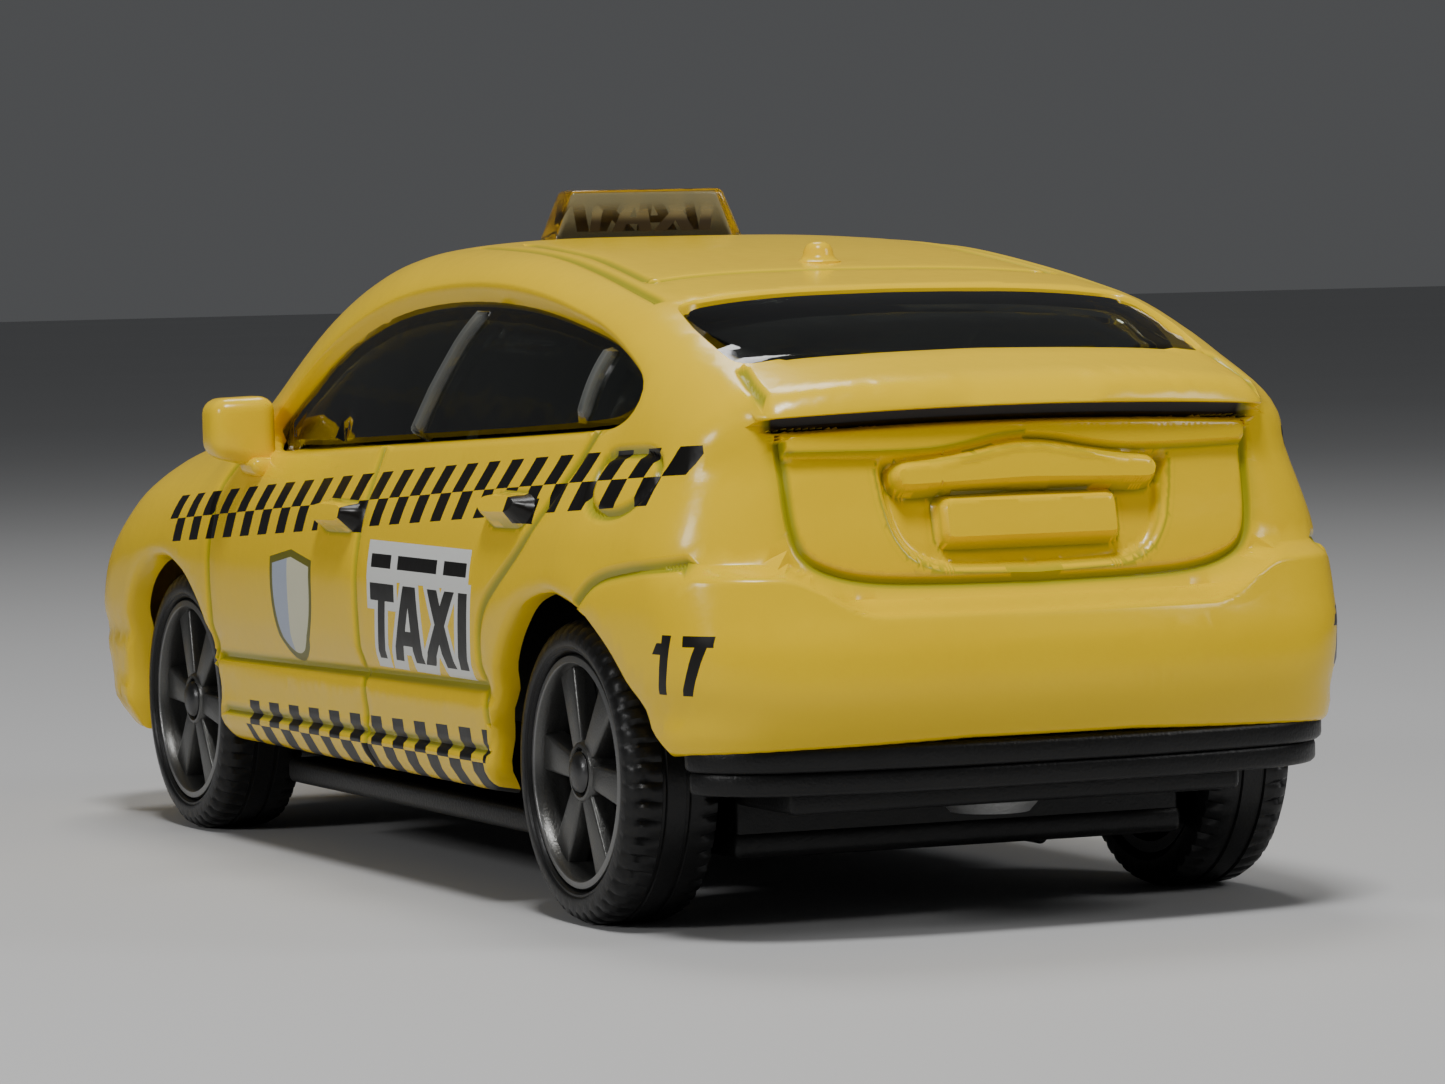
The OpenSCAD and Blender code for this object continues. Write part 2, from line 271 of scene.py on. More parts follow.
def fold(flat, level=0.0):
    """Points on the body, or on an inner level of it, for places in the flat pattern."""
    core, direction, gap = from_core(flat)
    along = gap - FLAT
    angle = np.clip(along / ROLL, 0, QUARTER)
    level_z = HUB(core[:, 1]) + np.minimum(ROLL * QUARTER - along, 0)
    beyond = gap > FLAT
    start = np.column_stack([core + direction * FLAT, level_z])
    way = np.column_stack([direction * np.sin(angle)[:, None], np.cos(angle)])
    start = np.where(beyond[:, None], start, np.column_stack([flat, np.full(len(flat), FLOOR_OF_RAYS)]))
    way = np.where(beyond[:, None], way, np.array([0, 0, 1.0]))
    return cast(start, way, level)


def onto(view, places):
    """Points on the body under an outline drawn in a view: left, right, tail or top."""
    a, b = np.array(places, float).T
    none = np.zeros(len(a))
    if view in HANDS:
        way = [1.0 if view == "right" else -1.0, 0, 0]
        start = np.column_stack([none, a, b])
    elif view == "tail":
        way = [0, -1.0, 0]
        start = np.column_stack([a, none + TAIL_OF_CORE, b])
    else:
        way = [0, 0, 1.0]
        start = np.column_stack([a, b, none + FLOOR_OF_RAYS])
    return cast(start, np.array([way] * len(a)))


# A corner radius past half of every stretch
FLOWING = 50.0


def towards(corner, point, radius):
    """Where the rounding of a corner ends on the way to a point, at most halfway."""
    way = point - corner
    return corner + way * min(0.5, radius / max(np.linalg.norm(way), 1e-9))


def soften(points, closed, radius=FLOWING, parts=6):
    """An outline with each corner rounded; a large radius makes one flowing curve."""
    points = np.array(points, float)
    before = np.roll(points, 1, axis=0)
    after = np.roll(points, -1, axis=0)
    curve = []
    for k, (last, corner, ahead) in enumerate(zip(before, points, after)):
        if not closed and k in (0, len(points) - 1):
            curve.append(corner[None])
            continue
        enter = towards(corner, last, radius)
        leave = towards(corner, ahead, radius)
        t = np.linspace(0, 1, parts)[:, None]
        curve.append(enter * (1 - t)**2 + corner * 2 * t * (1 - t) + leave * t**2)
    curve = np.concatenate(curve)
    apart = np.linalg.norm(np.diff(curve, axis=0), axis=1) > 1e-6
    return curve[np.concatenate([[True], apart])]


def spaced(points, closed, step):
    """An outline as evenly spaced points."""
    if closed:
        points = np.concatenate([points, points[:1]])
    length = np.concatenate([[0], np.cumsum(np.linalg.norm(np.diff(points, axis=0), axis=1))])
    count = max(2, round(length[-1] / step))
    at = np.linspace(0, length[-1], count + 1)
    even = np.column_stack([np.interp(at, length, points[:, k]) for k in range(points.shape[1])])
    return even[:-1] if closed else even


def shifted(points, closed, distance):
    """An outline moved sideways, to the left of its direction."""
    if closed:
        run = np.roll(points, -1, axis=0) - np.roll(points, 1, axis=0)
    else:
        run = np.gradient(points, axis=0)
    run = run / np.linalg.norm(run, axis=1)[:, None]
    return points + np.column_stack([-run[:, 1], run[:, 0]]) * distance


def turns_left(points):
    """Whether a closed outline runs anticlockwise."""
    x, y = points.T
    return np.sum(x * np.roll(y, -1) - y * np.roll(x, -1)) > 0


def clockwise(points):
    """A closed outline that runs clockwise."""
    return points[::-1] if turns_left(np.array(points)) else points


def inside(outline, places):
    """Whether each place lies inside a closed outline."""
    result = np.zeros(len(places), bool)
    x, y = places.T
    for (xa, ya), (xb, yb) in zip(outline, np.roll(outline, -1, axis=0)):
        if ya != yb:
            crosses = (ya > y) != (yb > y)
            result ^= crosses & (x < (xb - xa) * (y - ya) / (yb - ya) + xa)
    return result


# Edge of the boxes that points are sorted into, to find their neighbours
CELL = 0.5


class Spread:
    """Points on the flat pattern, taken in turn and kept clear of each other in space."""

    def __init__(self):
        self.flat = []
        self.solid = []
        self.height = []
        self.line = []
        self.cells = {}

    def crowded(self, point, gap):
        """Whether another point lies nearer than a gap."""
        reach = math.ceil(gap / CELL)
        a, b, c = (math.floor(v / CELL) for v in point)
        span = range(-reach, reach + 1)
        for i in span:
            for j in span:
                for k in span:
                    for other in self.cells.get((a + i, b + j, c + k), ()):
                        if math.dist(point, self.solid[other]) < gap:
                            return True
        return False

    def add(self, flat, solid, height, line, gap):
        """Adds the points that have room; returns the index of each, or -1."""
        taken = []
        height = np.broadcast_to(height, len(flat)).tolist()
        line = np.broadcast_to(line, len(flat)).tolist()
        for place, point, up, mark in zip(flat.tolist(), solid.tolist(), height, line):
            if gap and self.crowded(point, gap):
                taken.append(-1)
                continue
            self.cells.setdefault(tuple(math.floor(v / CELL) for v in point), []).append(len(self.flat))
            taken.append(len(self.flat))
            self.flat.append(place)
            self.solid.append(point)
            self.height.append(up)
            self.line.append(mark)
        return taken


class Opening:
    """A hole in the body, or its lower edge, as an outline on the flat pattern; lip scales its rounding."""

    def __init__(self, points, step, lip=1.0):
        self.lip = lip
        flat = unfold(points)
        gap = np.linalg.norm(np.roll(points, -1, axis=0) - points, axis=1)
        parts = np.maximum(1, np.round(gap / step).astype(int))
        rows = [a + (b - a) * (np.arange(n) / n)[:, None]
                for a, b, n in zip(flat, np.roll(flat, -1, axis=0), parts)]
        self.flat = clockwise(np.concatenate(rows))


def grid(low, high, step):
    """A field of points in staggered rows."""
    rows = np.arange(low[1], high[1], step * math.sin(math.pi / 3))
    across = np.arange(low[0], high[0], step)
    places = [np.column_stack([across + (step / 2 if k % 2 else 0), np.full(len(across), y)])
              for k, y in enumerate(rows)]
    return np.concatenate(places)


def triangles(flat, loops, edge, holes, crisp=()):
    """Triangles over the flat pattern, without those in a hole or past the outer edge."""
    links = [(a, b) for loop in loops for a, b in zip(loop, loop[1:] + loop[:1])]
    links += [(a, b) for row in crisp for a, b in zip(row, row[1:])]
    found = delaunay_2d_cdt([Vector(p) for p in flat], links, [], 0, 1e-6)
    source = [ids[0] for ids in found[3]]
    faces = np.array([[source[v] for v in face] for face in found[2]])
    middle = np.array(flat)[faces].mean(axis=1)
    keep = inside(edge, middle)
    for hole in holes:
        keep &= ~inside(hole, middle)
    return faces[keep].tolist()


# How an opening's lip rounds off: distance from the edge and height
LIP_FALL = [(0.0, -0.26), (0.09, -0.13), (0.2, -0.04), (0.34, 0.0)]
# Least distance between points of neighbouring rows
ROW_GAP = 0.085


def closed_skin(name, rim, holes, rows, facet, outer_level, inner_level, bulge, bands=()):
    """A thin shell between two levels of the body, with rounded openings and drawn rows.

    rows are (flat, height, line) sets: places on the pattern, their height and their tint, which is painted
    shade on the shell and frosting on the windows.
    bands are rows whose points are all kept and joined by edges, and bulge gives the height
    of the raised and sunk patches at points on the skin.
    """
    spread = Spread()
    rings = [rim] + holes
    loops = []
    for ring in rings:
        loops.append(spread.add(ring.flat, fold(ring.flat), LIP_FALL[0][1] * ring.lip, 0.0, 0))
    crisp = [spread.add(flat, fold(flat), height, line, 0) for flat, height, line in bands]
    for flat, height, line in rows:
        spread.add(flat, fold(flat), height, line, ROW_GAP)
    for ring, sign in zip(rings, [-1] + [1] * len(holes)):
        for reach, fall in LIP_FALL[1:]:
            flat = shifted(ring.flat, True, reach * sign * ring.lip)
            spread.add(flat, fold(flat), fall * ring.lip, 0.0, ROW_GAP)
    corner = rim.flat.min(axis=0), rim.flat.max(axis=0)
    field = grid(*corner, facet)
    field = field[inside(rim.flat, field)]
    spread.add(field, fold(field), 0.0, 0.0, facet * 0.82)
    flat = np.array(spread.flat)
    skin = fold(flat, outer_level)
    height = np.array(spread.height)
    height = height + bulge(skin)
    skin = skin + outward(skin) * height[:, None]
    faces = triangles(spread.flat, loops, rim.flat, [hole.flat for hole in holes], crisp)
    lining = Spread()
    inner_loops = [lining.add(ring.flat, fold(ring.flat), 0.0, 0.0, 0) for ring in rings]
    field = grid(*corner, facet * 2.6)
    field = field[inside(rim.flat, field)]
    lining.add(field, fold(field), 0.0, 0.0, facet * 1.7)
    inner = fold(np.array(lining.flat), inner_level)
    first = len(skin)
    inner_faces = triangles(lining.flat, inner_loops, rim.flat, [hole.flat for hole in holes])
    faces += [[v + first for v in reversed(face)] for face in inner_faces]
    for loop, back in zip(loops, inner_loops):
        for k in range(len(loop)):
            j = (k + 1) % len(loop)
            faces.append([loop[k], loop[j], back[j] + first, back[k] + first])
    piece = mesh_piece(name, np.concatenate([skin, inner]), faces)
    # Each point's tint: painted shade in the shell's grooves and under its lip, frosting on the windows' ribs
    mark = piece.data.attributes.new("line", "FLOAT", "POINT")
    mark.data.foreach_set("value", np.concatenate([spread.line, np.zeros(len(inner))]))
    return piece


def deselect():
    if bpy.context.mode != "OBJECT":
        bpy.ops.object.mode_set(mode="OBJECT")
    bpy.ops.object.select_all(action="DESELECT")


def choose(piece):
    deselect()
    piece.select_set(True)
    bpy.context.view_layer.objects.active = piece


def mesh_piece(name, points, faces):
    """A mesh object from points in millimetres, with its faces turned outwards."""
    mesh = bpy.data.meshes.new(name)
    mesh.from_pydata((np.array(points) * MM).tolist(), [], faces)
    mesh.validate()
    piece = bpy.data.objects.new(name, mesh)
    bpy.context.scene.collection.objects.link(piece)
    face_outwards(piece)
    return piece


def face_outwards(piece):
    choose(piece)
    bpy.ops.object.mode_set(mode="EDIT")
    bpy.ops.mesh.select_all(action="SELECT")
    bpy.ops.mesh.normals_make_consistent(inside=False)
    bpy.ops.object.mode_set(mode="OBJECT")


def smooth(piece, degrees=40):
    choose(piece)
    bpy.ops.object.shade_smooth_by_angle(angle=math.radians(degrees))


def finish_piece(piece, body, slot, material, *nodes):
    """Gives the piece its material, lets it ride on its body and hides the frame nodes it stands for."""
    piece.data.materials.clear()
    piece.data.materials.append(material)
    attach(piece, body)
    if nodes:
        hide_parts(*nodes)


# ---------------------------------------------------------------- outlines on the shell

def mirrored(points):
    """A closed outline from its right half, which starts and ends on the middle line."""
    return points + [(-a, b) for a, b in reversed(points)]


# Side views are (length, height), the tail (across, height) and the top (across, length)
SIDE_WINDOW = [(12.1, 15.9), (12.0, 16.9), (10.6, 18.1), (8.5, 19.3), (6.3, 20.3), (3.7, 21.2), (0.9, 21.9),
               (-1.7, 22.25), (-4.6, 22.45), (-7.6, 22.5), (-10.7, 22.4), (-13.9, 22.1), (-17.0, 21.6),
               (-20.1, 21.0), (-22.9, 20.1), (-24.8, 19.2), (-25.0, 18.4), (-23.8, 17.7), (-22.0, 17.45),
               (-13.9, 17.05), (-7.0, 16.75), (0.4, 16.42)]
WINDSCREEN = [(9.3, 12.4), (8.0, 14.4), (5.2, 15.7), (0, 16.3), (-5.2, 15.7), (-8.0, 14.4), (-9.3, 12.4),
              (-8.6, 6.6), (-7.9, 4.7), (-4.5, 6.1), (0, 6.6), (4.5, 6.1), (7.9, 4.7), (8.6, 6.6)]
REAR_WINDOW = [(8.9, -22.35), (7.0, -22.05), (4.0, -21.65), (0, -21.4), (-4.0, -21.65), (-7.0, -22.05),
               (-8.9, -22.35), (-9.2, -24.8), (-9.15, -26.8), (-9.0, -28.25), (-5.0, -28.35), (0, -28.1),
               (5.0, -28.35), (9.0, -28.25), (9.15, -26.8), (9.2, -24.8)]
LOWER_EDGE = [(26.9, 3.6), (26.9, 5.4), (26.6, 7.4), (25.9, 9.2), (24.6, 10.5), (22.7, 11.4), (20.5, 11.45),
              (18.2, 10.7), (16.4, 9.3), (15.3, 7.6), (14.9, 5.7), (14.85, 4.05), (-15.1, 4.05), (-15.3, 6.0),
              (-15.9, 7.9), (-17.1, 9.8), (-19.0, 11.3), (-21.7, 11.9), (-24.2, 11.35), (-26.2, 10.05),
              (-27.3, 9.0), (-28.4, 7.7), (-29.1, 6.9), (-29.7, 6.45)]
NOSE_BOTTOM = 3.6
TAIL_BOTTOM = 6.85
FRONT_DOOR = [(15.0, 6.6), (15.0, 14.2), (14.6, 15.0), (13.2, 16.2)]
MIDDLE_POST = [(-2.3, 4.2), (-2.3, 16.6)]
REAR_DOOR = [(-22.4, 17.4), (-21.4, 16.1), (-20.3, 14.8), (-18.9, 13.3), (-17.2, 12.1), (-15.5, 11.0),
             (-14.9, 9.7), (-15.05, 8.2), (-15.1, 6.7)]
SILL_CREASE = [(14.6, 7.62), (-2.9, 7.88), (-14.9, 8.06)]
SILL_SPLIT = [(14.0, 5.45), (-15.0, 5.75)]
BUMPER_SPLIT = [(-24.2, 11.5), (-25.4, 12.4), (-27.6, 12.75), (-30.3, 13.05)]
FUEL_FLAP = [(-23.5, 16.65), (-25.6, 16.75), (-27.4, 16.8), (-28.2, 16.1), (-26.7, 14.7), (-24.6, 14.55),
             (-23.4, 15.1)]
GATE_LINE = [(9.0, 17.55), (8.9, 16.3), (8.85, 14.3), (8.6, 13.3), (8.0, 12.75), (6.6, 12.32), (4.5, 12.18),
             (0, 12.13)]
STRIP_LINE = [(8.85, 16.62), (5.3, 16.56), (3.6, 16.6), (2.4, 16.77), (1.2, 17.02), (0, 17.1)]
GARNISH = [(5.0, 16.25), (3.6, 16.3), (2.2, 16.48), (0.8, 16.76), (0, 16.82), (-0.8, 16.76), (-2.2, 16.48),
           (-3.6, 16.3), (-5.0, 16.25), (-5.15, 15.75), (-4.9, 15.3), (-3.4, 15.35), (0, 15.45),
           (3.4, 15.35), (4.9, 15.3), (5.15, 15.75)]
RECESS = mirrored([(0, 16.75), (0.9, 16.68), (2.2, 16.4), (3.6, 16.28), (5.5, 16.3), (5.35, 15.1),
                   (5.1, 14.0), (4.6, 13.2), (3.6, 12.75), (0, 12.62)])
PLATE = [(3.4, 13.5), (3.4, 15.1), (-3.4, 15.1), (-3.4, 13.5)]
SPOILER_PATCH = [(2.8, 18.4), (2.6, 19.2), (-2.4, 19.2), (-2.6, 18.4)]
SPOILER_END = [(9.15, -28.6), (9.35, -29.6), (9.45, -30.8)]
ROOF_OUTER = [(7.9, -1.0), (8.3, -6.0), (8.4, -11.5), (8.6, -14.3), (9.0, -19.3), (9.1, -21.0)]
ROOF_INNER = [(7.1, -4.0), (7.5, -8.3), (7.45, -11.7), (7.8, -15.0), (8.1, -18.2)]
ROOF_ACROSS = [(8.1, -18.2), (6.4, -17.8), (3.6, -17.3), (0, -17.15)]
ROOF_PATHS = [ROOF_OUTER, ROOF_INNER, ROOF_ACROSS, SPOILER_END]
HOOD_LINE = [(9.6, 17.2), (10.0, 21.0), (9.4, 26.0), (8.4, 30.5)]
HEADLAMP = [(10.6, 24.2), (11.3, 27.0), (10.6, 30.2), (8.2, 32.0), (6.8, 31.6), (8.4, 29.0), (9.4, 26.2)]


# Spacing of the rows' points where lines and patch edges must stay crisp
FINE_STEP = 0.125


def both_sides(points):
    """An outline and its mirror image."""
    return [points, [(-a, b) for a, b in points]]


def drawn(view, points, closed, profile, radius=FLOWING, step=0.3):
    """Rows of points along an outline, each with its height, its tint and how far it lies to the side."""
    rows = []
    outline = spaced(soften(points, closed, radius), closed, step)
    for sideways, height, tint in profile:
        places = shifted(outline, closed, sideways) if sideways else outline
        solid = onto(view, places)
        rows.append((unfold(solid), height, tint, abs(sideways)))
    return rows


def groove(depth, width=0.18):
    """The profile of a panel line: (sideways, height, tint) for each row; the tint is painted shade in the
    groove.
    """
    return [(0.0, -depth, 1.0), (width * 0.55, -depth * 0.72, 0.95), (-width * 0.55, -depth * 0.72, 0.95),
            (width * 1.25, -depth * 0.12, 0.35), (-width * 1.25, -depth * 0.12, 0.35),
            (width * 2.2, 0.0, 0.0), (-width * 2.2, 0.0, 0.0)]


def edge_rows(soft):
    """The profile along a patch's edge, with painted shade at its foot."""
    return [(0.0, 0.0, 0.5), (-soft, 0.0, 0.0), (soft, 0.0, 0.8), (soft * 2, 0.0, 0.2)]


STRIP = mirrored([(0, 18.9), (8.8, 18.9)] + STRIP_LINE)
DOOR_HANDLES = [[(2.05, 13.85), (1.2, 14.2), (-1.5, 14.2), (-2.1, 13.9), (-1.7, 13.35), (1.4, 13.3)],
                [(-15.1, 14.6), (-15.9, 14.98), (-18.5, 14.98), (-19.2, 14.65), (-18.7, 14.1),
                 (-15.7, 14.05)]]
# Raised and sunk patches: view, outline, height, width of the slope, corner radius
SOFT_PADS = [("tail", STRIP, 0.36, 0.14, 0.3), ("tail", SPOILER_PATCH, -0.13, 0.2, 0.4)]
EDGED_PADS = [("tail", RECESS, -0.42, 0.22, 0.4), ("tail", GARNISH, 0.75, 0.2, 0.5),
              ("tail", PLATE, 0.6, 0.2, 0.35)]
EDGED_PADS += [(hand, outline, 0.7, 0.18, 0.6) for hand in HANDS for outline in DOOR_HANDLES]


def pad_places(view, points):
    """Which points a view's patches may reach, and where they lie in that view."""
    x, y, z = points.T
    if view == "tail":
        return y < -29, np.column_stack([x, z])
    hand = 1 if view == "right" else -1
    return x * hand > 11, np.column_stack([y, z])


def edge_gap(outline, places):
    """Distance of each place from a closed outline."""
    gap = np.full(len(places), 99.0)
    for a, b in zip(outline, np.roll(outline, -1, axis=0)):
        run = b - a
        t = np.clip((places - a) @ run / max(run @ run, 1e-9), 0, 1)
        gap = np.minimum(gap, np.linalg.norm(places - a - t[:, None] * run, axis=1))
    return gap


def pad_height(points):
    """Height of the raised and sunk patches at points on the skin."""
    height = np.zeros(len(points))
    for view, outline, rise, slope, radius in SOFT_PADS + EDGED_PADS:
        near, places = pad_places(view, points)
        edge = soften(outline, True, radius, 4)
        gap = edge_gap(edge, places[near])
        rise = rise * ease(np.where(inside(edge, places[near]), gap, -gap), -slope, slope)
        if outline is STRIP:
            rise = rise * ease(points[near, 2] - lip_height(points[near, 0]), -0.46, -0.66)
        height[near] += rise
    return height


# Parts of the skin with fine relief: view, lowest and highest corner, spacing of the points
DENSE = [("tail", (-9.0, 12.6), (9.0, 17.6), FINE_STEP)]
DENSE += [(hand, low, high, 0.14) for hand in HANDS
          for low, high in (((-2.6, 12.9), (2.6, 14.6)), ((-19.8, 13.6), (-14.6, 15.4)))]


def dense(view, low, high, step):
    """A field of close points without height or tint."""
    return unfold(onto(view, grid(low, high, step))), 0.0, 0.0


def shell_rows(depth):
    """Every panel line and patch edge of the shell, centre rows first, then the fields of fine relief."""
    line = groove(depth)
    rows = []
    for hand in HANDS:
        for outline in (FRONT_DOOR, MIDDLE_POST, REAR_DOOR, SILL_CREASE, SILL_SPLIT, BUMPER_SPLIT):
            rows += drawn(hand, outline, False, line, step=FINE_STEP)
    rows += drawn("left", FUEL_FLAP, True, line)
    for outline in both_sides(GATE_LINE):
        rows += drawn("tail", outline, False, line[:5], step=FINE_STEP)
    for outline in [side for path in ROOF_PATHS for side in both_sides(path)]:
        rows += drawn("top", outline, False, line)
    for outline in both_sides(HOOD_LINE):
        rows += drawn("top", outline, False, line)
    for outline in both_sides(HEADLAMP):
        rows += drawn("top", outline, True, line)
    for outline in both_sides(STRIP_LINE):
        rows += drawn("tail", outline, False, edge_rows(0.1), step=FINE_STEP)
    for view, outline, rise, slope, radius in EDGED_PADS:
        rows += drawn(view, clockwise(outline), True, edge_rows(slope), radius, FINE_STEP)
    rows.sort(key=lambda row: row[3])
    return [row[:3] for row in rows] + [dense(*patch) for patch in DENSE]


def tail_band(levels, height_at, reach, step=0.024):
    """Rows along a step of the tail and round its corners, to keep the step crisp."""
    straight = np.arange(0, CORE[0], 0.24)
    angles = np.arange(0, reach, step)
    core = np.concatenate([np.column_stack([straight, straight * 0 + TAIL_OF_CORE]),
                           np.tile([CORE[0], TAIL_OF_CORE], (len(angles), 1))])
    way = np.concatenate([np.tile([0.0, -1.0], (len(straight), 1)),
                          np.column_stack([np.sin(angles), -np.cos(angles)])])
    core = np.concatenate([core[::-1][:-1] * [-1, 1], core])
    way = np.concatenate([way[::-1][:-1] * [-1, 1], way])
    middle = np.full(len(core), LIP_LEVEL - 1)
    across = cast(np.column_stack([core + way * FLAT, middle]), np.column_stack([way, middle * 0]))[:, 0]
    rows = []
    for level in levels:
        along = ROLL * QUARTER + HUB(core[:, 1]) - height_at(across) - level
        rows.append(core + way * (FLAT + along)[:, None])
    return rows


# Levels of the rows from the middle of each step, and how far they turn round the tail's corners
LIP_LEVELS = [-0.7, -0.6, -0.5, -0.44, -0.38, -0.31, -0.24, -0.17, -0.1, -0.06, -0.02, 0.02, 0.06, 0.1,
              0.14, 0.24]
LIP_TURN = 0.69
SHELF_LEVELS = [0.17, 0.09, 0.01, -0.07, -0.15, -0.23, -0.31, -0.39, -0.48, -0.6]
SHELF_TURN = 0.82


def shell_bands():
    """Rows with their heights and tints: a sunk gap with a painted shadow under the spoiler's lip, and the
    bumper's step.
    """
    bands = []
    for level, row in zip(LIP_LEVELS, tail_band(LIP_LEVELS, lip_height, LIP_TURN)):
        across = np.abs(fold(row)[:, 0])
        # The undercut under the lip: its rows sink and take a painted shadow
        gap = ease(across, 9.6, 8.9) * ease(level, -0.48, -0.36) * ease(level, 0.04, -0.06)
        bands.append((row, gap * -0.45, gap * 2))
    return bands + [(row, 0.0, 0.0) for row in tail_band(SHELF_LEVELS, shelf_height, SHELF_TURN)]


def lower_rim():
    """The shell's lower edge as points all round the car."""
    right = onto("right", spaced(soften(LOWER_EDGE, False, 0.9), False, 0.4))
    flat = unfold(right[[0, -1]])
    core, direction, gap = from_core(flat)
    ends = []
    for k, (turn, level) in enumerate(((QUARTER, NOSE_BOTTOM), (-QUARTER, TAIL_BOTTOM))):
        first = math.atan2(direction[k][1], direction[k][0])
        angles = np.linspace(first, turn, 16)[1:]
        way = np.column_stack([np.cos(angles), np.sin(angles)])
        corner = np.array([CORE[0], math.copysign(CORE[1], turn)]) + CORE_MIDDLE
        heights = np.linspace(right[-k][2], level, 16)[1:]
        start = np.column_stack([corner + way * FLAT, heights])
        ends.append(cast(start, np.column_stack([way, np.zeros(len(way))])))
    half = np.concatenate([ends[0][::-1], right, ends[1]])
    return np.concatenate([half, half[::-1] * [-1, 1, 1]])


def hole(view, outline, radius=FLOWING, lip=1.0, step=0.3):
    """An opening in the shell, drawn in a view."""
    return Opening(onto(view, spaced(soften(outline, True, radius), True, step)), step, lip)


# Outer edges of the window moulding
GLASS_REAR = [(9.5, -29.2), (0, -29.2)]
GLASS_FRONT = [(0, 17.2), (9.5, 17.2)]
GLASS_SIDE = [(17.2, 16.6), (17.2, 13.75), (-29.2, 13.75), (-29.2, 17.2)]
MIDDLE_RIB = [(-8.0, 22.0), (-6.8, 20.6), (-5.0, 18.0), (-4.3, 16.9)]
REAR_RIB = [(-20.4, 20.4), (-20.0, 17.9)]


def glass_rim():
    """The window moulding's edge as points all round the car."""
    edges = (("top", GLASS_FRONT), ("right", GLASS_SIDE), ("top", GLASS_REAR))
    half = np.concatenate([onto(view, spaced(np.array(edge, float), False, 0.8)) for view, edge in edges])
    return np.concatenate([half, half[::-1][1:-1] * [-1, 1, 1]])


# How far the panes stand out into the shell's openings: view, outline, corner radius, height
PANES = [("top", WINDSCREEN, FLOWING, 0.8), ("top", REAR_WINDOW, 0.7, 0.94),
         ("left", SIDE_WINDOW, FLOWING, 0.5), ("right", SIDE_WINDOW, FLOWING, 0.5)]
PANE_GAP = 0.05


def pane_height(points):
    """Height of the panes that stand out into the openings, at points on the moulding."""
    height = np.zeros(len(points))
    x, y, z = points.T
    for view, outline, radius, rise in PANES:
        hand = 1 if view == "right" else -1
        near = (z > 16) if view == "top" else (x * hand > 7)
        places = np.column_stack([x, y] if view == "top" else [y, z])[near]
        outline = soften(outline, True, radius, 4)
        gap = np.where(inside(outline, places), edge_gap(outline, places), -1)
        height[near] = np.maximum(height[near], rise * ease(gap, PANE_GAP, PANE_GAP + 0.1))
    return height


def glass_rows():
    """The raised ribs that stand for the door frames, and the edges of the panes."""
    rib = [(0.0, 0.3, 0.7), (0.22, 0.26, 1.0), (-0.22, 0.26, 1.0), (0.38, 0.0, 0.3), (-0.38, 0.0, 0.3),
           (0.5, 0.0, 0.0), (-0.5, 0.0, 0.0)]
    rows = []
    for hand in HANDS:
        for outline in (MIDDLE_RIB, REAR_RIB):
            rows += drawn(hand, outline, False, rib)
    for view, outline, radius, rise in PANES:
        edge = [(-PANE_GAP + shift, 0.0, 0.0) for shift in (0.02, -0.06, -0.14)]
        rows += drawn(view, clockwise(outline), True, edge, radius, 0.35)
    rows.sort(key=lambda row: row[3])
    return [row[:3] for row in rows]


# ---------------------------------------------------------------- shader words

class Wire:
    """A shader socket that can be used in sums; each sum adds a Math node."""

    def __init__(self, look, socket):
        self.look = look
        self.socket = socket

    def math(self, operation, *others):
        values = dict(enumerate((self,) + others))
        return self.look.node("ShaderNodeMath", {"operation": operation}, values)

    def __add__(self, other):
        return self.math("ADD", other)

    def __sub__(self, other):
        return self.math("SUBTRACT", other)

    def __mul__(self, other):
        return self.math("MULTIPLY", other)

    def __truediv__(self, other):
        return self.math("DIVIDE", other)

    def __rsub__(self, other):
        return self.math("MULTIPLY", -1.0).math("ADD", other)

    def __abs__(self):
        return self.math("ABSOLUTE")

    def __lt__(self, other):
        return self.math("LESS_THAN", other)

    def __gt__(self, other):
        return self.math("GREATER_THAN", other)

    def ramp(self, low, high):
        """0 at low and 1 at high, clamped."""
        settings = {"interpolation_type": "SMOOTHSTEP"}
        return self.look.node("ShaderNodeMapRange", settings, {0: self, 1: low, 2: high})

    __radd__ = __add__


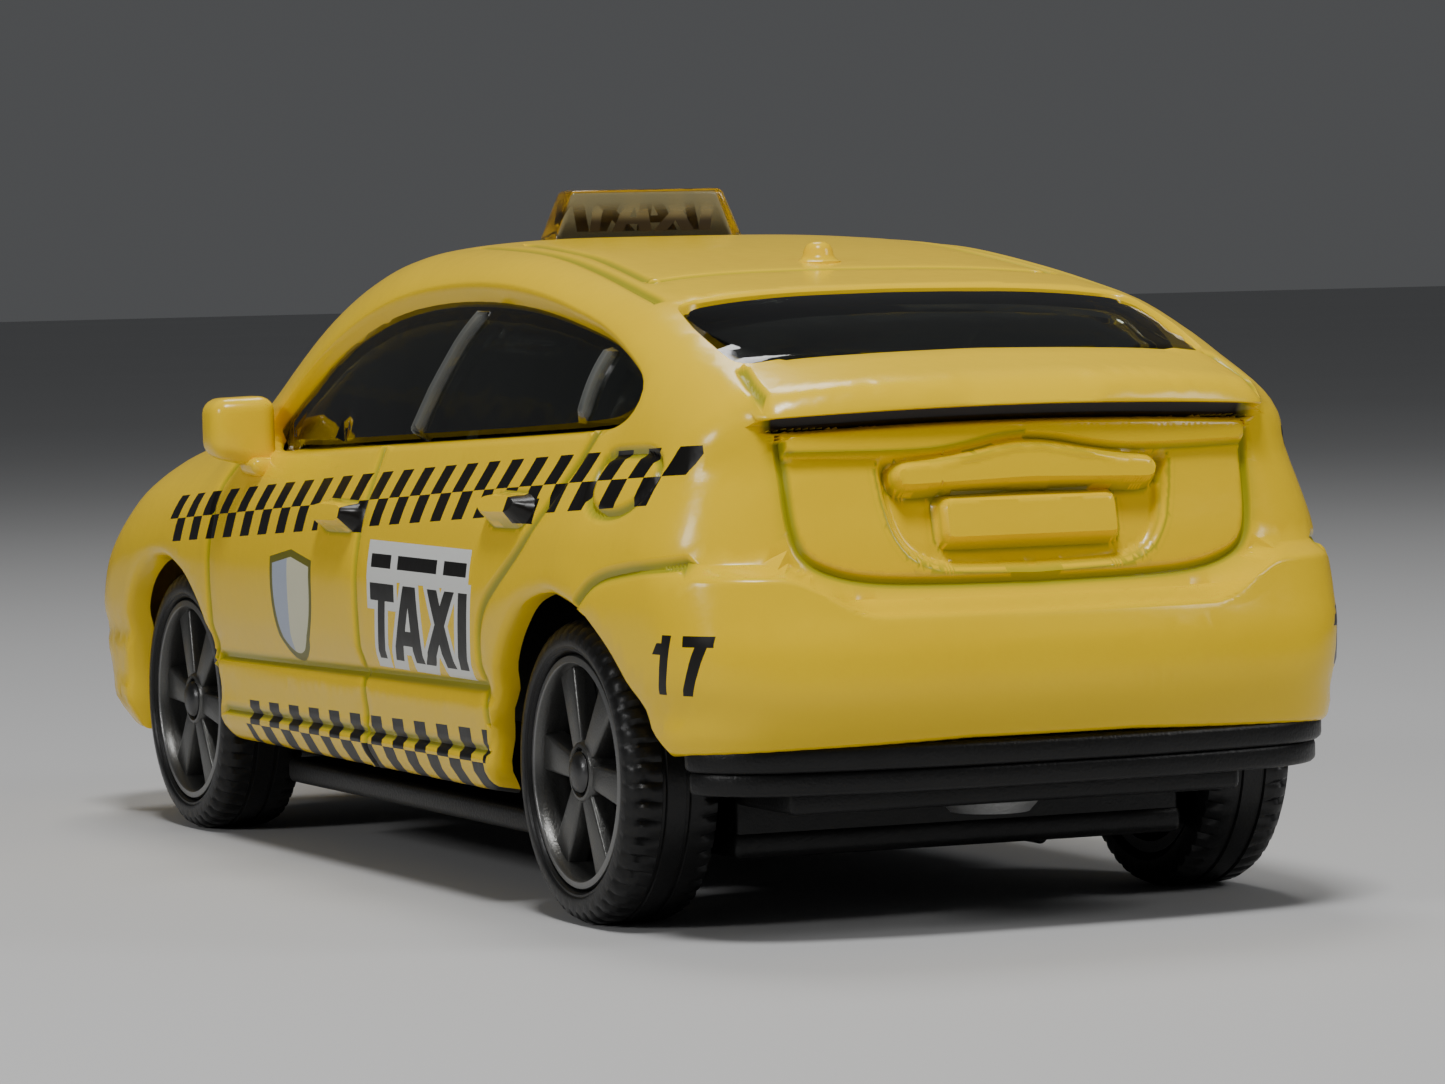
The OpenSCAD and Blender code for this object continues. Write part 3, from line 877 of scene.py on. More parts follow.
class Look:
    """A material under construction."""

    def __init__(self, name):
        self.material = bpy.data.materials.new(name)
        self.material.use_nodes = True
        self.tree = self.material.node_tree
        self.tree.nodes.clear()
        self.place = None

    def node(self, kind, settings=None, inputs=None, output=0):
        """Adds a node: its settings first, then the values or wires of its sockets."""
        node = self.tree.nodes.new(kind)
        for key, value in (settings or {}).items():
            setattr(node, key, value)
        for key, value in (inputs or {}).items():
            if isinstance(value, Wire):
                self.tree.links.new(value.socket, node.inputs[key])
            else:
                node.inputs[key].default_value = value
        return Wire(self, node.outputs[output])

    def millimetres(self):
        """Object coordinates in millimetres."""
        if self.place is None:
            place = self.node("ShaderNodeTexCoord", output="Object")
            self.place = self.node("ShaderNodeMapping", None, {"Vector": place, "Scale": (1 / MM,) * 3})
        return self.place

    def parts(self, vector):
        """The three parts of a vector."""
        split = self.node("ShaderNodeSeparateXYZ", None, {0: vector}).socket.node
        return [Wire(self, split.outputs[k]) for k in range(3)]

    def noise(self, scale, detail=3.0):
        """Noise with so many features to the millimetre."""
        return self.node("ShaderNodeTexNoise", None,
                         {"Vector": self.millimetres(), "Scale": scale, "Detail": detail})

    def mix(self, factor, first, second):
        """The first colour at 0 and the second at 1."""
        return self.node("ShaderNodeMix", {"data_type": "RGBA"}, {0: factor, 6: first, 7: second}, 2)

    def bump(self, height, depth):
        """A bump of so many millimetres."""
        return self.node("ShaderNodeBump", None, {"Height": height, "Distance": depth * MM})

    def shader(self, **inputs):
        """One shader, given its sockets by name with _ for a space."""
        sockets = {name.replace("_", " "): value for name, value in inputs.items()}
        return self.node("ShaderNodeBsdfPrincipled", None, sockets)

    def blend(self, factor, first, second):
        """Two shaders mixed by a wire."""
        return self.node("ShaderNodeMixShader", None, {0: factor, 1: first, 2: second})

    def surface(self, shader):
        """The finished material, with a shader on its surface."""
        output = self.tree.nodes.new("ShaderNodeOutputMaterial")
        self.tree.links.new(shader.socket, output.inputs["Surface"])
        return self.material

    def shade(self, **inputs):
        """The finished material, made of one shader."""
        return self.surface(self.shader(**inputs))


def within(value, low, high):
    """1 between two levels and 0 outside them."""
    return (value > low) * (value < high)


LETTER_LOW = 8.55
LETTER_HIGH = 11.4
# Strokes of the word: middle at the foot, middle at the head, width
WORD = [(-4.25, -3.72, 0.75), (-2.5, -1.1, 0.85), (-0.32, -0.7, 0.95), (0.74, 3.3, 1.0), (2.92, 1.5, 1.0),
        (4.18, 4.65, 0.9)]
# Level bars of the word and the dashes over it: left, right, low, high
WORD_BARS = [(-5.04, -2.5, 10.74, 11.4), (-2.2, -0.4, 9.15, 9.7)]
DASHES = [(-5.0, -2.9, 11.98, 12.5), (-2.2, 1.9, 11.98, 12.5), (2.6, 4.9, 11.98, 12.5)]
# The door handles' yellow grips and their dark tips: back, front, low, high
GRIPS = [(-1.6, 2.3, 13.1, 14.4), (-18.2, -14.9, 13.9, 15.2)]
TIPS = [(-2.4, -1.6, 13.2, 14.2), (-19.4, -18.2, 14.1, 15.0)]


def blocks(along, z, boxes, halo=0.0):
    """1 inside any of some upright boxes, all wider by a halo."""
    found = [within(along, left - halo, right + halo) * within(z, low - halo, high + halo)
             for left, right, low, high in boxes]
    return sum(found[1:], found[0])


def taxi_letters(along, z, halo=0.0):
    """The word as upright and slanted strokes, all wider by a halo."""
    up = (z - LETTER_LOW) / (LETTER_HIGH - LETTER_LOW)
    strokes = [abs(along - (up * (head - foot) + foot)) < width / 2 + halo for foot, head, width in WORD]
    tall = within(z, LETTER_LOW - halo, LETTER_HIGH + halo)
    return (sum(strokes[1:], strokes[0]) * tall + blocks(along, z, WORD_BARS, halo)) > 0.5


def checks(along, z, bottom, top, period, lean_low, lean_high):
    """Two rows of slanted checks between two lines."""
    middle = (bottom + top) / 2
    upper = z > middle
    along = along + (z - middle) * (upper * (lean_high - lean_low) + lean_low)
    turn = (along / period + upper * 0.5).math("FRACT")
    return (turn < 0.5) * (z > bottom) * (z < top)


NUMBER_LOW = 8.63
NUMBER_HIGH = 10.68


def number_17(along, z):
    """The car's number on its rear corners."""
    up = (z - NUMBER_LOW) / (NUMBER_HIGH - NUMBER_LOW)
    tall = within(z, NUMBER_LOW, NUMBER_HIGH)
    one = (abs(along - (up * 0.45 - 0.96)) < 0.22) * tall
    flag = within(along - (z - 10.2) * 0.8, -1.2, -0.5) * within(z, 10.0, 10.4)
    seven = (abs(along - (up * 0.72 + 0.27)) < 0.21) * tall
    bar = within(along, 0.2, 1.25) * within(z, 10.3, NUMBER_HIGH)
    return (one + flag + seven + bar) > 0.5


SHIELD_MIDDLE = 4.95


def shield(y, z, grow):
    """A plain shield, larger or smaller by grow."""
    across = abs(y - SHIELD_MIDDLE)
    fall = ((10.9 - z).math("MAXIMUM", 0.0)) / (3.0 + grow)
    half = (1 - fall * fall).math("MAXIMUM", 0.0).math("SQRT") * (2.4 + grow)
    return (across < half) * (z < (11.95 + grow) + (0.35 - across * 0.15)) * (z > 7.9 - grow)


# Prints lie on the sides, this far out or further, and the number a little nearer in
SIDE_REACH = 11.2
CORNER_REACH = 10.8
PLATE_MIDDLE = -9.1
NUMBER_MIDDLE = -30.8
ENAMEL_DEEP = (0.90, 0.56, 0.0, 1)
# Painted shade along the panel lines and at the feet of raised patches
PAINTED_GROOVE_SHADE = (0.30, 0.31, 0.02, 1)
# Painted shadow in the gap under the spoiler's lip
PAINTED_LIP_SHADOW = (0.03, 0.015, 0.0, 1)
SHIELD_EDGE = (0.16, 0.15, 0.01, 1)
SHIELD_FIELDS = (0.72, 0.70, 0.50, 1), (0.42, 0.47, 0.58, 1)


def enamel(settings):
    """Glossy yellow enamel with black checks, the door letters, a plain shield and the car's number, with
    painted shade along its panel lines and a painted shadow under the spoiler's lip.
    """
    look = Look("yellow_enamel")
    x, y, z = look.parts(look.millimetres())
    hand = x.math("SIGN")
    side = abs(x) > SIDE_REACH
    stretch = (y * -1.0 - 14.0).math("MAXIMUM", 0.0)
    along = y + stretch * stretch * 0.0035 - 14.1
    arch = (y + 5.0) * (y + 5.0) * -0.0002
    band = checks(along, z, y * -0.0616 + 13.27, y * -0.0631 + 15.31 + arch, 2.08, 0.25, 0.6)
    band = band * (y < 20.3) * (y + z * 0.75 > -17.3) * side
    band = band * (1 - blocks(y, z, GRIPS)) + blocks(y, z, TIPS) * side
    sill = checks(y - 11.0, z, 4.05, y * -0.019 + 6.2, 2.33, -0.2, -0.2) * within(y, -14.9, 11.6) * side
    reading = (y - PLATE_MIDDLE) * hand
    letters = taxi_letters(reading, z) * side
    words = within(abs(reading + 0.1), 0, 5.3) * within(z, 11.5, 13.0)
    plate = taxi_letters(reading, z, 0.34).math("MAXIMUM", words) * side
    dashes = blocks(reading, z, DASHES) * side
    number = number_17((y - NUMBER_MIDDLE) * hand, z) * (y < -29.0) * (abs(x) > CORNER_REACH)
    badge = shield(y, z, 0.0) * side
    field = shield(y, z, -0.3) * side
    print_ink = (band + sill + letters + dashes + number) > 0.5
    base = look.mix(look.noise(0.25, 2.0) * 0.5, tuple(settings.enamel), ENAMEL_DEEP)
    line = look.node("ShaderNodeAttribute", {"attribute_name": "line"}, output="Fac")
    # Painted shade along the panel lines and at the feet of raised patches, where the tint is up to 1
    base = look.mix(line.ramp(0.0, 1.0) * 0.85, base, PAINTED_GROOVE_SHADE)
    # Painted shadow under the spoiler's lip, where the tint runs from 1 to 2
    base = look.mix(line.ramp(1.0, 1.8), base, PAINTED_LIP_SHADOW)
    base = look.mix(badge, base, SHIELD_EDGE)
    base = look.mix(field, base, look.mix((y - SHIELD_MIDDLE) > 0.4, *SHIELD_FIELDS))
    base = look.mix(plate, base, tuple(settings.plate_white))
    base = look.mix(print_ink, base, tuple(settings.print_black))
    peel = look.noise(1.6, 2.0)
    ink = (print_ink + plate + badge) > 0.5
    return look.shade(Base_Color=base, Roughness=ink * 0.1 + 0.2 + peel * 0.06, Specular_IOR_Level=0.35,
                      Coat_Weight=(1 - ink) * 0.1, Coat_Roughness=0.06,
                      Normal=look.bump(peel + ink * 0.5, 0.01))


def smoked_glass(settings):
    """Smoked clear plastic, frosted along the moulded ribs."""
    look = Look("smoked_window")
    ripple = look.noise(0.5, 1.0)
    rib = look.node("ShaderNodeAttribute", {"attribute_name": "line"}, output="Fac")
    clear = look.shader(Base_Color=tuple(settings.glass), Roughness=look.noise(2.0) * 0.04 + 0.03,
                        Transmission_Weight=1.0, IOR=1.46, Normal=look.bump(ripple, 0.02))
    frost = look.shader(Base_Color=look.mix(ripple, (0.30, 0.31, 0.29, 1), (0.22, 0.23, 0.21, 1)),
                        Roughness=0.3)
    return look.surface(look.blend(rib * 0.5, clear, frost))


def black_plastic(name, tone, gloss):
    """Moulded black plastic with a fine spark-eroded grain."""
    look = Look(name)
    grain = look.noise(9.0, 4.0)
    wide = look.noise(0.6, 2.0)
    base = look.mix(wide, tuple(tone), tuple(min(1, v * 1.7) for v in tone[:3]) + (1,))
    return look.shade(Base_Color=base, Roughness=grain * 0.15 + gloss, Specular_IOR_Level=0.3,
                      Normal=look.bump(grain, 0.02))


# ---------------------------------------------------------------- solids

def spun(name, profile, steps=96, closed=True):
    """A solid of revolution about X from (radius, along) points, in millimetres about the origin."""
    count = len(profile)
    links = [(k, (k + 1) % count) for k in range(count if closed else count - 1)]
    mesh = bpy.data.meshes.new(name)
    mesh.from_pydata([(along, 0, radius) for radius, along in profile], links, [])
    piece = bpy.data.objects.new(name, mesh)
    bpy.context.scene.collection.objects.link(piece)
    choose(piece)
    bpy.ops.object.mode_set(mode="EDIT")
    bpy.ops.mesh.select_all(action="SELECT")
    bpy.ops.mesh.spin(steps=steps, angle=2 * math.pi, center=(0, 0, 0), axis=(1, 0, 0))
    bpy.ops.mesh.select_all(action="SELECT")
    bpy.ops.mesh.remove_doubles(threshold=1e-4)
    bpy.ops.mesh.normals_make_consistent(inside=False)
    bpy.ops.object.mode_set(mode="OBJECT")
    return piece


def slab(low, high, edge, name="slab"):
    """A block between two corners with rounded edges, in millimetres."""
    deselect()
    bpy.ops.mesh.primitive_cube_add(size=1)
    piece = bpy.context.object
    piece.name = name
    low, high = np.array(low, float), np.array(high, float)
    piece.data.transform(Matrix.Translation((low + high) / 2) @ Matrix.Diagonal((*(high - low), 1)))
    return bevelled(piece, edge) if edge else piece


def bevelled(piece, width, segments=3, degrees=30):
    """Rounds a solid's edges that are sharper than an angle, and gives it back."""
    choose(piece)
    bevel = piece.modifiers.new("round", "BEVEL")
    bevel.width = width
    bevel.segments = segments
    bevel.limit_method = "ANGLE"
    bevel.angle_limit = math.radians(degrees)
    bpy.ops.object.modifier_apply(modifier=bevel.name)
    return piece


def joined(name, parts):
    """Several solids as one piece, scaled from millimetres to metres."""
    deselect()
    for part in parts:
        part.select_set(True)
    bpy.context.view_layer.objects.active = parts[0]
    if len(parts) > 1:
        bpy.ops.object.join()
    piece = bpy.context.object
    piece.name = name
    piece.data.name = name
    piece.data.transform(Matrix.Scale(MM, 4))
    return piece


def copy_of(piece, name, move):
    """A copy with its own mesh, moved by a matrix; a mirrored one is turned right side out."""
    twin = piece.copy()
    twin.data = piece.data.copy()
    twin.name = name
    bpy.context.scene.collection.objects.link(twin)
    twin.data.transform(move)
    if move.determinant() < 0:
        twin.data.flip_normals()
    return twin


def rod(start, end, radius):
    """A straight round bar between two points, with eased ends."""
    run = Vector(end) - Vector(start)
    eased = radius * 0.3
    half = [(0.0, 0.0), (radius - eased, 0.0), (radius, eased)]
    profile = half + [(out, run.length - along) for out, along in reversed(half)]
    bar = spun("rod", profile, 24, closed=False)
    bar.data.transform(Matrix.Translation(start) @ run.to_track_quat("X", "Z").to_matrix().to_4x4())
    return bar


def upright(piece, place):
    """Turns a solid spun about X to stand on a place."""
    piece.data.transform(Matrix.Translation(place) @ Matrix.Rotation(-QUARTER, 4, "Y"))
    return piece


def with_parts(piece, parts):
    """The piece with small solids, in millimetres, joined to it."""
    for part in parts:
        part.data.transform(Matrix.Scale(MM, 4))
        smooth(part)
    choose(piece)
    for part in parts:
        part.select_set(True)
    bpy.ops.object.join()
    return piece


# ---------------------------------------------------------------- the shell

MIRROR_REACH = 14.85
MIRROR_HEAD = (12.25, 10.5, 15.3), (MIRROR_REACH, 12.5, 18.2)
MIRROR_FOOT = (11.8, 10.2, 14.6), (13.5, 12.0, 15.75)


def mirror(hand):
    """A door mirror: a rounded head on a short foot."""
    head = slab(*MIRROR_HEAD, 0)
    for vertex in head.data.vertices:
        if vertex.co.x > 14:
            vertex.co.z = 17.15 + (vertex.co.z - 17.0) * 0.8
            vertex.co.y += 0.35
        elif vertex.co.z < 17:
            vertex.co.z -= 0.15
    bevelled(head, 0.62, 5)
    foot = slab(*MIRROR_FOOT, 0)
    for vertex in foot.data.vertices:
        if vertex.co.x > 12.5 and vertex.co.z < 15:
            vertex.co.z += 0.5
    bevelled(foot, 0.42, 4)
    choose(head)
    foot.select_set(True)
    bpy.ops.object.join()
    if hand < 0:
        head.data.transform(Matrix.Diagonal((-1, 1, 1, 1)))
        head.data.flip_normals()
    return head


STUB_PLACE = (0, -15.05, 23.2)


def antenna_stub():
    """The short turned antenna on the roof."""
    profile = [(0.0, 0.72), (0.26, 0.7), (0.44, 0.6), (0.53, 0.42), (0.57, 0.22), (0.66, 0.08), (0.84, -0.02),
               (0.88, -0.4), (0.0, -0.4)]
    return upright(spun("stub", profile, 32, closed=False), STUB_PLACE)


# Heights of the posts' feet over the chassis, and of their heads inside the roof
POST_FEET = {"front": 3.42, "rear": 5.32}
POST_HEAD = 13.2


def posts():
    """The two posts inside the shell that the rivets hold."""
    result = []
    for end, foot in POST_FEET.items():
        low, high = box_mm(f"rivet_{end}")
        middle = (low + high) / 2
        profile = [(0.95, foot), (1.6, foot), (1.7, foot + 0.1), (1.9, POST_HEAD), (0.95, POST_HEAD)]
        result.append(upright(spun("post", profile, 40), (middle[0], middle[1], 0)))
    return result


class TAXI_OT_shell(bpy.types.Operator):
    """Build the cast body shell with its panel lines, openings and mirrors"""
    bl_idname = "taxi.shell"
    bl_label = "Body shell"

    def execute(self, context):
        settings = context.scene.taxi_shell
        wall = settings.wall / MM
        holes = [hole("left", SIDE_WINDOW), hole("right", SIDE_WINDOW), hole("top", WINDSCREEN, lip=0.7),
                 hole("top", REAR_WINDOW, 0.7, 0.4)]
        shell = closed_skin("painted_shell", Opening(lower_rim(), 0.32), holes,
                            shell_rows(settings.groove / MM), settings.facet / MM, 0.0, -wall, pad_height,
                            shell_bands())
        smooth(shell)
        shell = with_parts(shell, [mirror(1), mirror(-1), antenna_stub()] + posts())
        finish_piece(shell, "car", "body_paint", enamel(settings), "body_shell")
        return {"FINISHED"}


class TAXI_OT_windows(bpy.types.Operator):
    """Build the smoked window moulding that fills the shell's openings"""
    bl_idname = "taxi.windows"
    bl_label = "Windows"

    def execute(self, context):
        glass = closed_skin("window_moulding", Opening(glass_rim(), 0.6), [], glass_rows(), 0.8, -1.0, -1.6,
                            pane_height)
        smooth(glass)
        finish_piece(glass, "car", "tinted_window", smoked_glass(context.scene.taxi_trim), "window_unit")
        return {"FINISHED"}


# ---------------------------------------------------------------- wheels and axles

# Section of a tyre from its inner bead round the tread to its outer bead: radius and depth from its face
TREAD = 5.395
GROOVE_FLOOR = 5.31
BEAD = 4.2
TYRE_SECTION = [(BEAD, 3.35), (4.45, 3.58), (4.85, 3.58), (5.22, 3.42), (5.38, 3.05), (TREAD, 2.75),
                (TREAD, 2.35), (GROOVE_FLOOR, 2.3), (GROOVE_FLOOR, 2.2), (TREAD, 2.15), (TREAD, 1.45),
                (GROOVE_FLOOR, 1.4), (GROOVE_FLOOR, 1.3), (TREAD, 1.25), (TREAD, 0.86), (5.36, 0.56),
                (5.2, 0.26), (4.92, 0.08), (4.6, 0.02), (4.46, 0.05), (4.4, 0.12), (4.32, 0.12), (BEAD, 0.3),
                (BEAD, 1.2)]
SHOULDER = 5.15
NOTCHES = 48
NOTCH_PARTS = 4
NOTCH_SHARE = 0.25


def tyre_mesh(notch):
    """A tyre about the origin with its outer face at zero, facing +X."""
    section = [(radius, -depth) for radius, depth in TYRE_SECTION]
    tyre = spun("tyre", section, NOTCHES * NOTCH_PARTS)
    for vertex in tyre.data.vertices:
        radius = math.hypot(vertex.co.y, vertex.co.z)
        turn = math.atan2(vertex.co.z, vertex.co.y) / (2 * math.pi) * NOTCHES
        shoulder = SHOULDER < radius and (vertex.co.x > -1.0 or vertex.co.x < -2.9)
        if shoulder and (turn + 0.01) % 1 < NOTCH_SHARE:
            vertex.co.y *= 1 - notch / radius
            vertex.co.z *= 1 - notch / radius
    return tyre


RIM_RADIUS = 4.17
AXLE_HOLE = 0.62
SPOKES = 6
SPOKE_TURN = 0.62
SPOKE_FOOT = 0.95


def rim_mesh(lip):
    """A six-spoke rim about the origin with its outer face at zero, facing +X."""
    inner = RIM_RADIUS - lip
    barrel = [(RIM_RADIUS, -0.3), (RIM_RADIUS - 0.06, -0.2), (inner + 0.06, -0.17), (inner, -0.24),
              (inner - 0.07, -0.6), (inner - 0.14, -1.75), (0.95, -1.75), (AXLE_HOLE, -1.85),
              (AXLE_HOLE, -3.3), (1.4, -3.4), (1.5, -2.15), (3.5, -2.15), (3.75, -3.4), (RIM_RADIUS, -3.4)]
    hub = [(AXLE_HOLE, -0.75), (0.82, -0.62), (0.84, -0.42), (0.9, -0.34), (1.0, -0.36), (1.12, -0.5),
           (1.16, -0.8), (1.16, -1.9), (AXLE_HOLE, -1.9)]
    parts = [spun("barrel", barrel), spun("hub", hub, 60)]
    reach = inner + 0.08
    for k in range(SPOKES):
        spoke = slab((-1.3, -0.5, SPOKE_FOOT), (-0.5, 0.5, reach), 0, "spoke")
        for vertex in spoke.data.vertices:
            out = (vertex.co.z - SPOKE_FOOT) / (reach - SPOKE_FOOT)
            half = 0.5 + 0.28 * out
            vertex.co.y = math.copysign(half, vertex.co.y)
            if vertex.co.x > -1.0:
                vertex.co.x = -0.42 - 0.12 * out
                vertex.co.y *= 0.86
        bevelled(spoke, 0.12, 3)
        spoke.data.transform(Matrix.Rotation(2 * math.pi * (k + SPOKE_TURN) / SPOKES, 4, "X"))
        parts.append(spoke)
    return parts


def metal_rim(settings):
    """Dark satin rim paint, lighter on the lip, that falls to black behind the spokes."""
    look = Look("gunmetal_rim")
    x, y, z = look.parts(look.millimetres())
    face = box_mm("tyre_rear_right")[1][0]
    depth = face - abs(x)
    speckle = look.noise(14.0, 2.0)
    paint = look.mix(speckle * 0.5, tuple(settings.rim), (0.20, 0.20, 0.19, 1))
    lip = depth.ramp(0.24, 0.17)
    base = look.mix(lip * 0.5, paint, (0.35, 0.35, 0.35, 1))
    deep = depth.ramp(0.9, 1.6)
    base = look.mix(deep, base, (0.004, 0.004, 0.004, 1))
    return look.shade(Base_Color=base, Metallic=(1 - deep) * 0.85, Roughness=speckle * 0.14 + 0.26,
                      Normal=look.bump(speckle, 0.01))


def rubber(settings):
    """Hard black tyre plastic with a satin side wall and fine scuffs on the tread."""
    look = Look("tyre_plastic")
    grain = look.noise(7.0, 4.0)
    wide = look.noise(0.9, 2.0)
    base = look.mix(wide * 0.6, tuple(settings.tyre), (0.014, 0.014, 0.014, 1))
    return look.shade(Base_Color=base, Roughness=grain * 0.16 + 0.3, Specular_IOR_Level=0.35,
                      Normal=look.bump(grain, 0.012))


class TAXI_OT_wheels(bpy.types.Operator):
    """Build the four tyres and the four six-spoke rims"""
    bl_idname = "taxi.wheels"
    bl_label = "Wheels"

    def execute(self, context):
        settings = context.scene.taxi_wheels
        tyre = joined("tyre_pattern", [tyre_mesh(settings.notch / MM)])
        rim = joined("rim_pattern", rim_mesh(settings.lip / MM))
        materials = rubber(settings), metal_rim(settings)
        for end, hand in itertools.product(ENDS, HANDS):
            low, high = box_mm(f"tyre_{end}_{hand}")
            middle = (low + high) / 2
            face = high[0] if hand == "right" else low[0]
            move = Matrix.Translation(Vector((face, middle[1], middle[2])) * MM)
            if hand == "left":
                move = move @ Matrix.Diagonal((-1, 1, 1, 1))
            for pattern, kind, slot, material in ((tyre, "tyre", "tyre_black", materials[0]),
                                                  (rim, "rim", "rim_gunmetal", materials[1])):
                piece = copy_of(pattern, f"{end}_{hand}_{kind}", move)
                smooth(piece, 35)
                finish_piece(piece, f"wheel_{end}_{hand}", slot, material, f"{kind}_{end}_{hand}")
        for pattern in (tyre, rim):
            bpy.data.objects.remove(pattern)
        return {"FINISHED"}


# An axle's upset end: radius and depth from its tip
AXLE_HEAD = [(0.0, 0.0), (0.32, 0.02), (0.54, 0.07), (0.68, 0.16), (0.74, 0.27), (0.7, 0.34), (0.55, 0.36)]


def steel(settings):
    """Drawn steel wire with a fine grain, its ends darkened like the rims."""
    look = Look("axle_wire")
    x, y, z = look.parts(look.millimetres())
    fine = look.noise(12.0, 3.0)
    ends = abs(x).ramp(12.3, 12.6)
    base = look.mix(ends, tuple(settings.metal), (0.10, 0.10, 0.10, 1))
    return look.shade(Base_Color=base, Metallic=1.0, Roughness=fine * 0.2 + 0.25,
                      Normal=look.bump(fine, 0.01))


class TAXI_OT_axles(bpy.types.Operator):
    """Build the two wire axles with their upset ends"""
    bl_idname = "taxi.axles"
    bl_label = "Axles"

    def execute(self, context):
        material = steel(context.scene.taxi_trim)
        for end in ENDS:
            low, high = box_mm(f"axle_{end}")
            middle = (low + high) / 2
            half = [(radius, high[0] - depth) for radius, depth in AXLE_HEAD]
            profile = half + [(radius, -along) for radius, along in reversed(half)]
            axle = joined(f"{end}_wire_axle", [spun("axle", profile, 32, closed=False)])
            axle.data.transform(Matrix.Translation(Vector((0, middle[1], middle[2])) * MM))
            smooth(axle, 50)
            finish_piece(axle, f"{end}_axle", "axle_steel", material, f"axle_{end}")
        return {"FINISHED"}


# ---------------------------------------------------------------- sign and chassis

SIGN_HEIGHT = 1.9


def amber_sign(settings):
    """Clear amber plastic with dark letters printed on the front and the back."""
    look = Look("clear_sign")
    x, y, z = look.parts(look.millimetres())
    low, high = box_mm("roof_sign")
    foot = high[2] - SIGN_HEIGHT
    scale = (LETTER_HIGH - LETTER_LOW) / (SIGN_HEIGHT * 0.72)
    middle = (low[1] + high[1]) / 2
    facing = (y - middle).math("SIGN") * -1.0
    along = x * facing * scale * 0.86
    height = (z - (foot + SIGN_HEIGHT * 0.13)) * scale + LETTER_LOW
    skin = abs(y - middle).ramp((high[1] - low[1]) / 2 - 0.12, (high[1] - low[1]) / 2 - 0.06)
    letters = taxi_letters(along, height) * skin
    cloud = look.noise(1.5, 2.0)
    base = look.mix(letters, look.mix(cloud * 0.3, tuple(settings.sign), (0.62, 0.46, 0.16, 1)),
                    (0.03, 0.02, 0.008, 1))
    clear = look.shader(Base_Color=base, Roughness=cloud * 0.1 + 0.06, Transmission_Weight=1.0, IOR=1.47)
    ink = look.shader(Base_Color=base, Roughness=0.35)
    return look.surface(look.blend(letters, clear, ink))


class TAXI_OT_sign(bpy.types.Operator):
    """Build the clear roof sign"""
    bl_idname = "taxi.sign"
    bl_label = "Roof sign"

    def execute(self, context):
        low, high = box_mm("roof_sign")
        foot = high[2] - SIGN_HEIGHT
        block = slab((low[0], low[1], foot - 0.2), high, 0)
        for vertex in block.data.vertices:
            if vertex.co.z > foot:
                vertex.co.x *= 0.79
                vertex.co.y += 0.16 if vertex.co.y < (low[1] + high[1]) / 2 else -0.16
        bevelled(block, 0.22, 4)
        sign = joined("roof_lamp", [block])
        smooth(sign, 40)
        finish_piece(sign, "car", "sign_clear", amber_sign(context.scene.taxi_trim), "roof_sign")
        return {"FINISHED"}


STRIP_TURN = 1.08
STRIP_FRONT = -29.9
# Layers of the strip under the rear bumper: low, high, how far in from the bumper, rounding
STRIP_LAYERS = [(5.15, 6.0, 0.5, 0.22), (5.95, 6.82, 0.3, 0.24)]


def strip_layer(low, high, inset, edge):
    """One layer of the black strip under the rear bumper, which follows the bumper round."""
    angles = np.linspace(-STRIP_TURN, STRIP_TURN, 41)
    none = np.zeros(len(angles))
    core_x = np.where(angles > 0, CORE[0], -CORE[0])
    way = np.column_stack([np.sin(angles), -np.cos(angles)])
    start = np.column_stack([core_x, none + TAIL_OF_CORE]) + way * FLAT
    outer = cast(np.column_stack([start, none + 7.4]), np.column_stack([way, none]), -inset)[:, :2]
    outer = outer[outer[:, 1] < STRIP_FRONT]
    ends = [(across, STRIP_FRONT) for across in (outer[-1][0], 8.0, -8.0, outer[0][0])]
    outline = np.concatenate([outer, ends])
    count = len(outline)
    points = [(*p, low) for p in outline] + [(*p, high) for p in outline]
    faces = [list(range(count))[::-1], list(range(count, 2 * count))]
    faces += [[k, (k + 1) % count, (k + 1) % count + count, k + count] for k in range(count)]
    mesh = bpy.data.meshes.new("strip")
    mesh.from_pydata(points, [], faces)
    piece = bpy.data.objects.new("strip", mesh)
    bpy.context.scene.collection.objects.link(piece)
    face_outwards(piece)
    return bevelled(piece, edge, 3, 50)


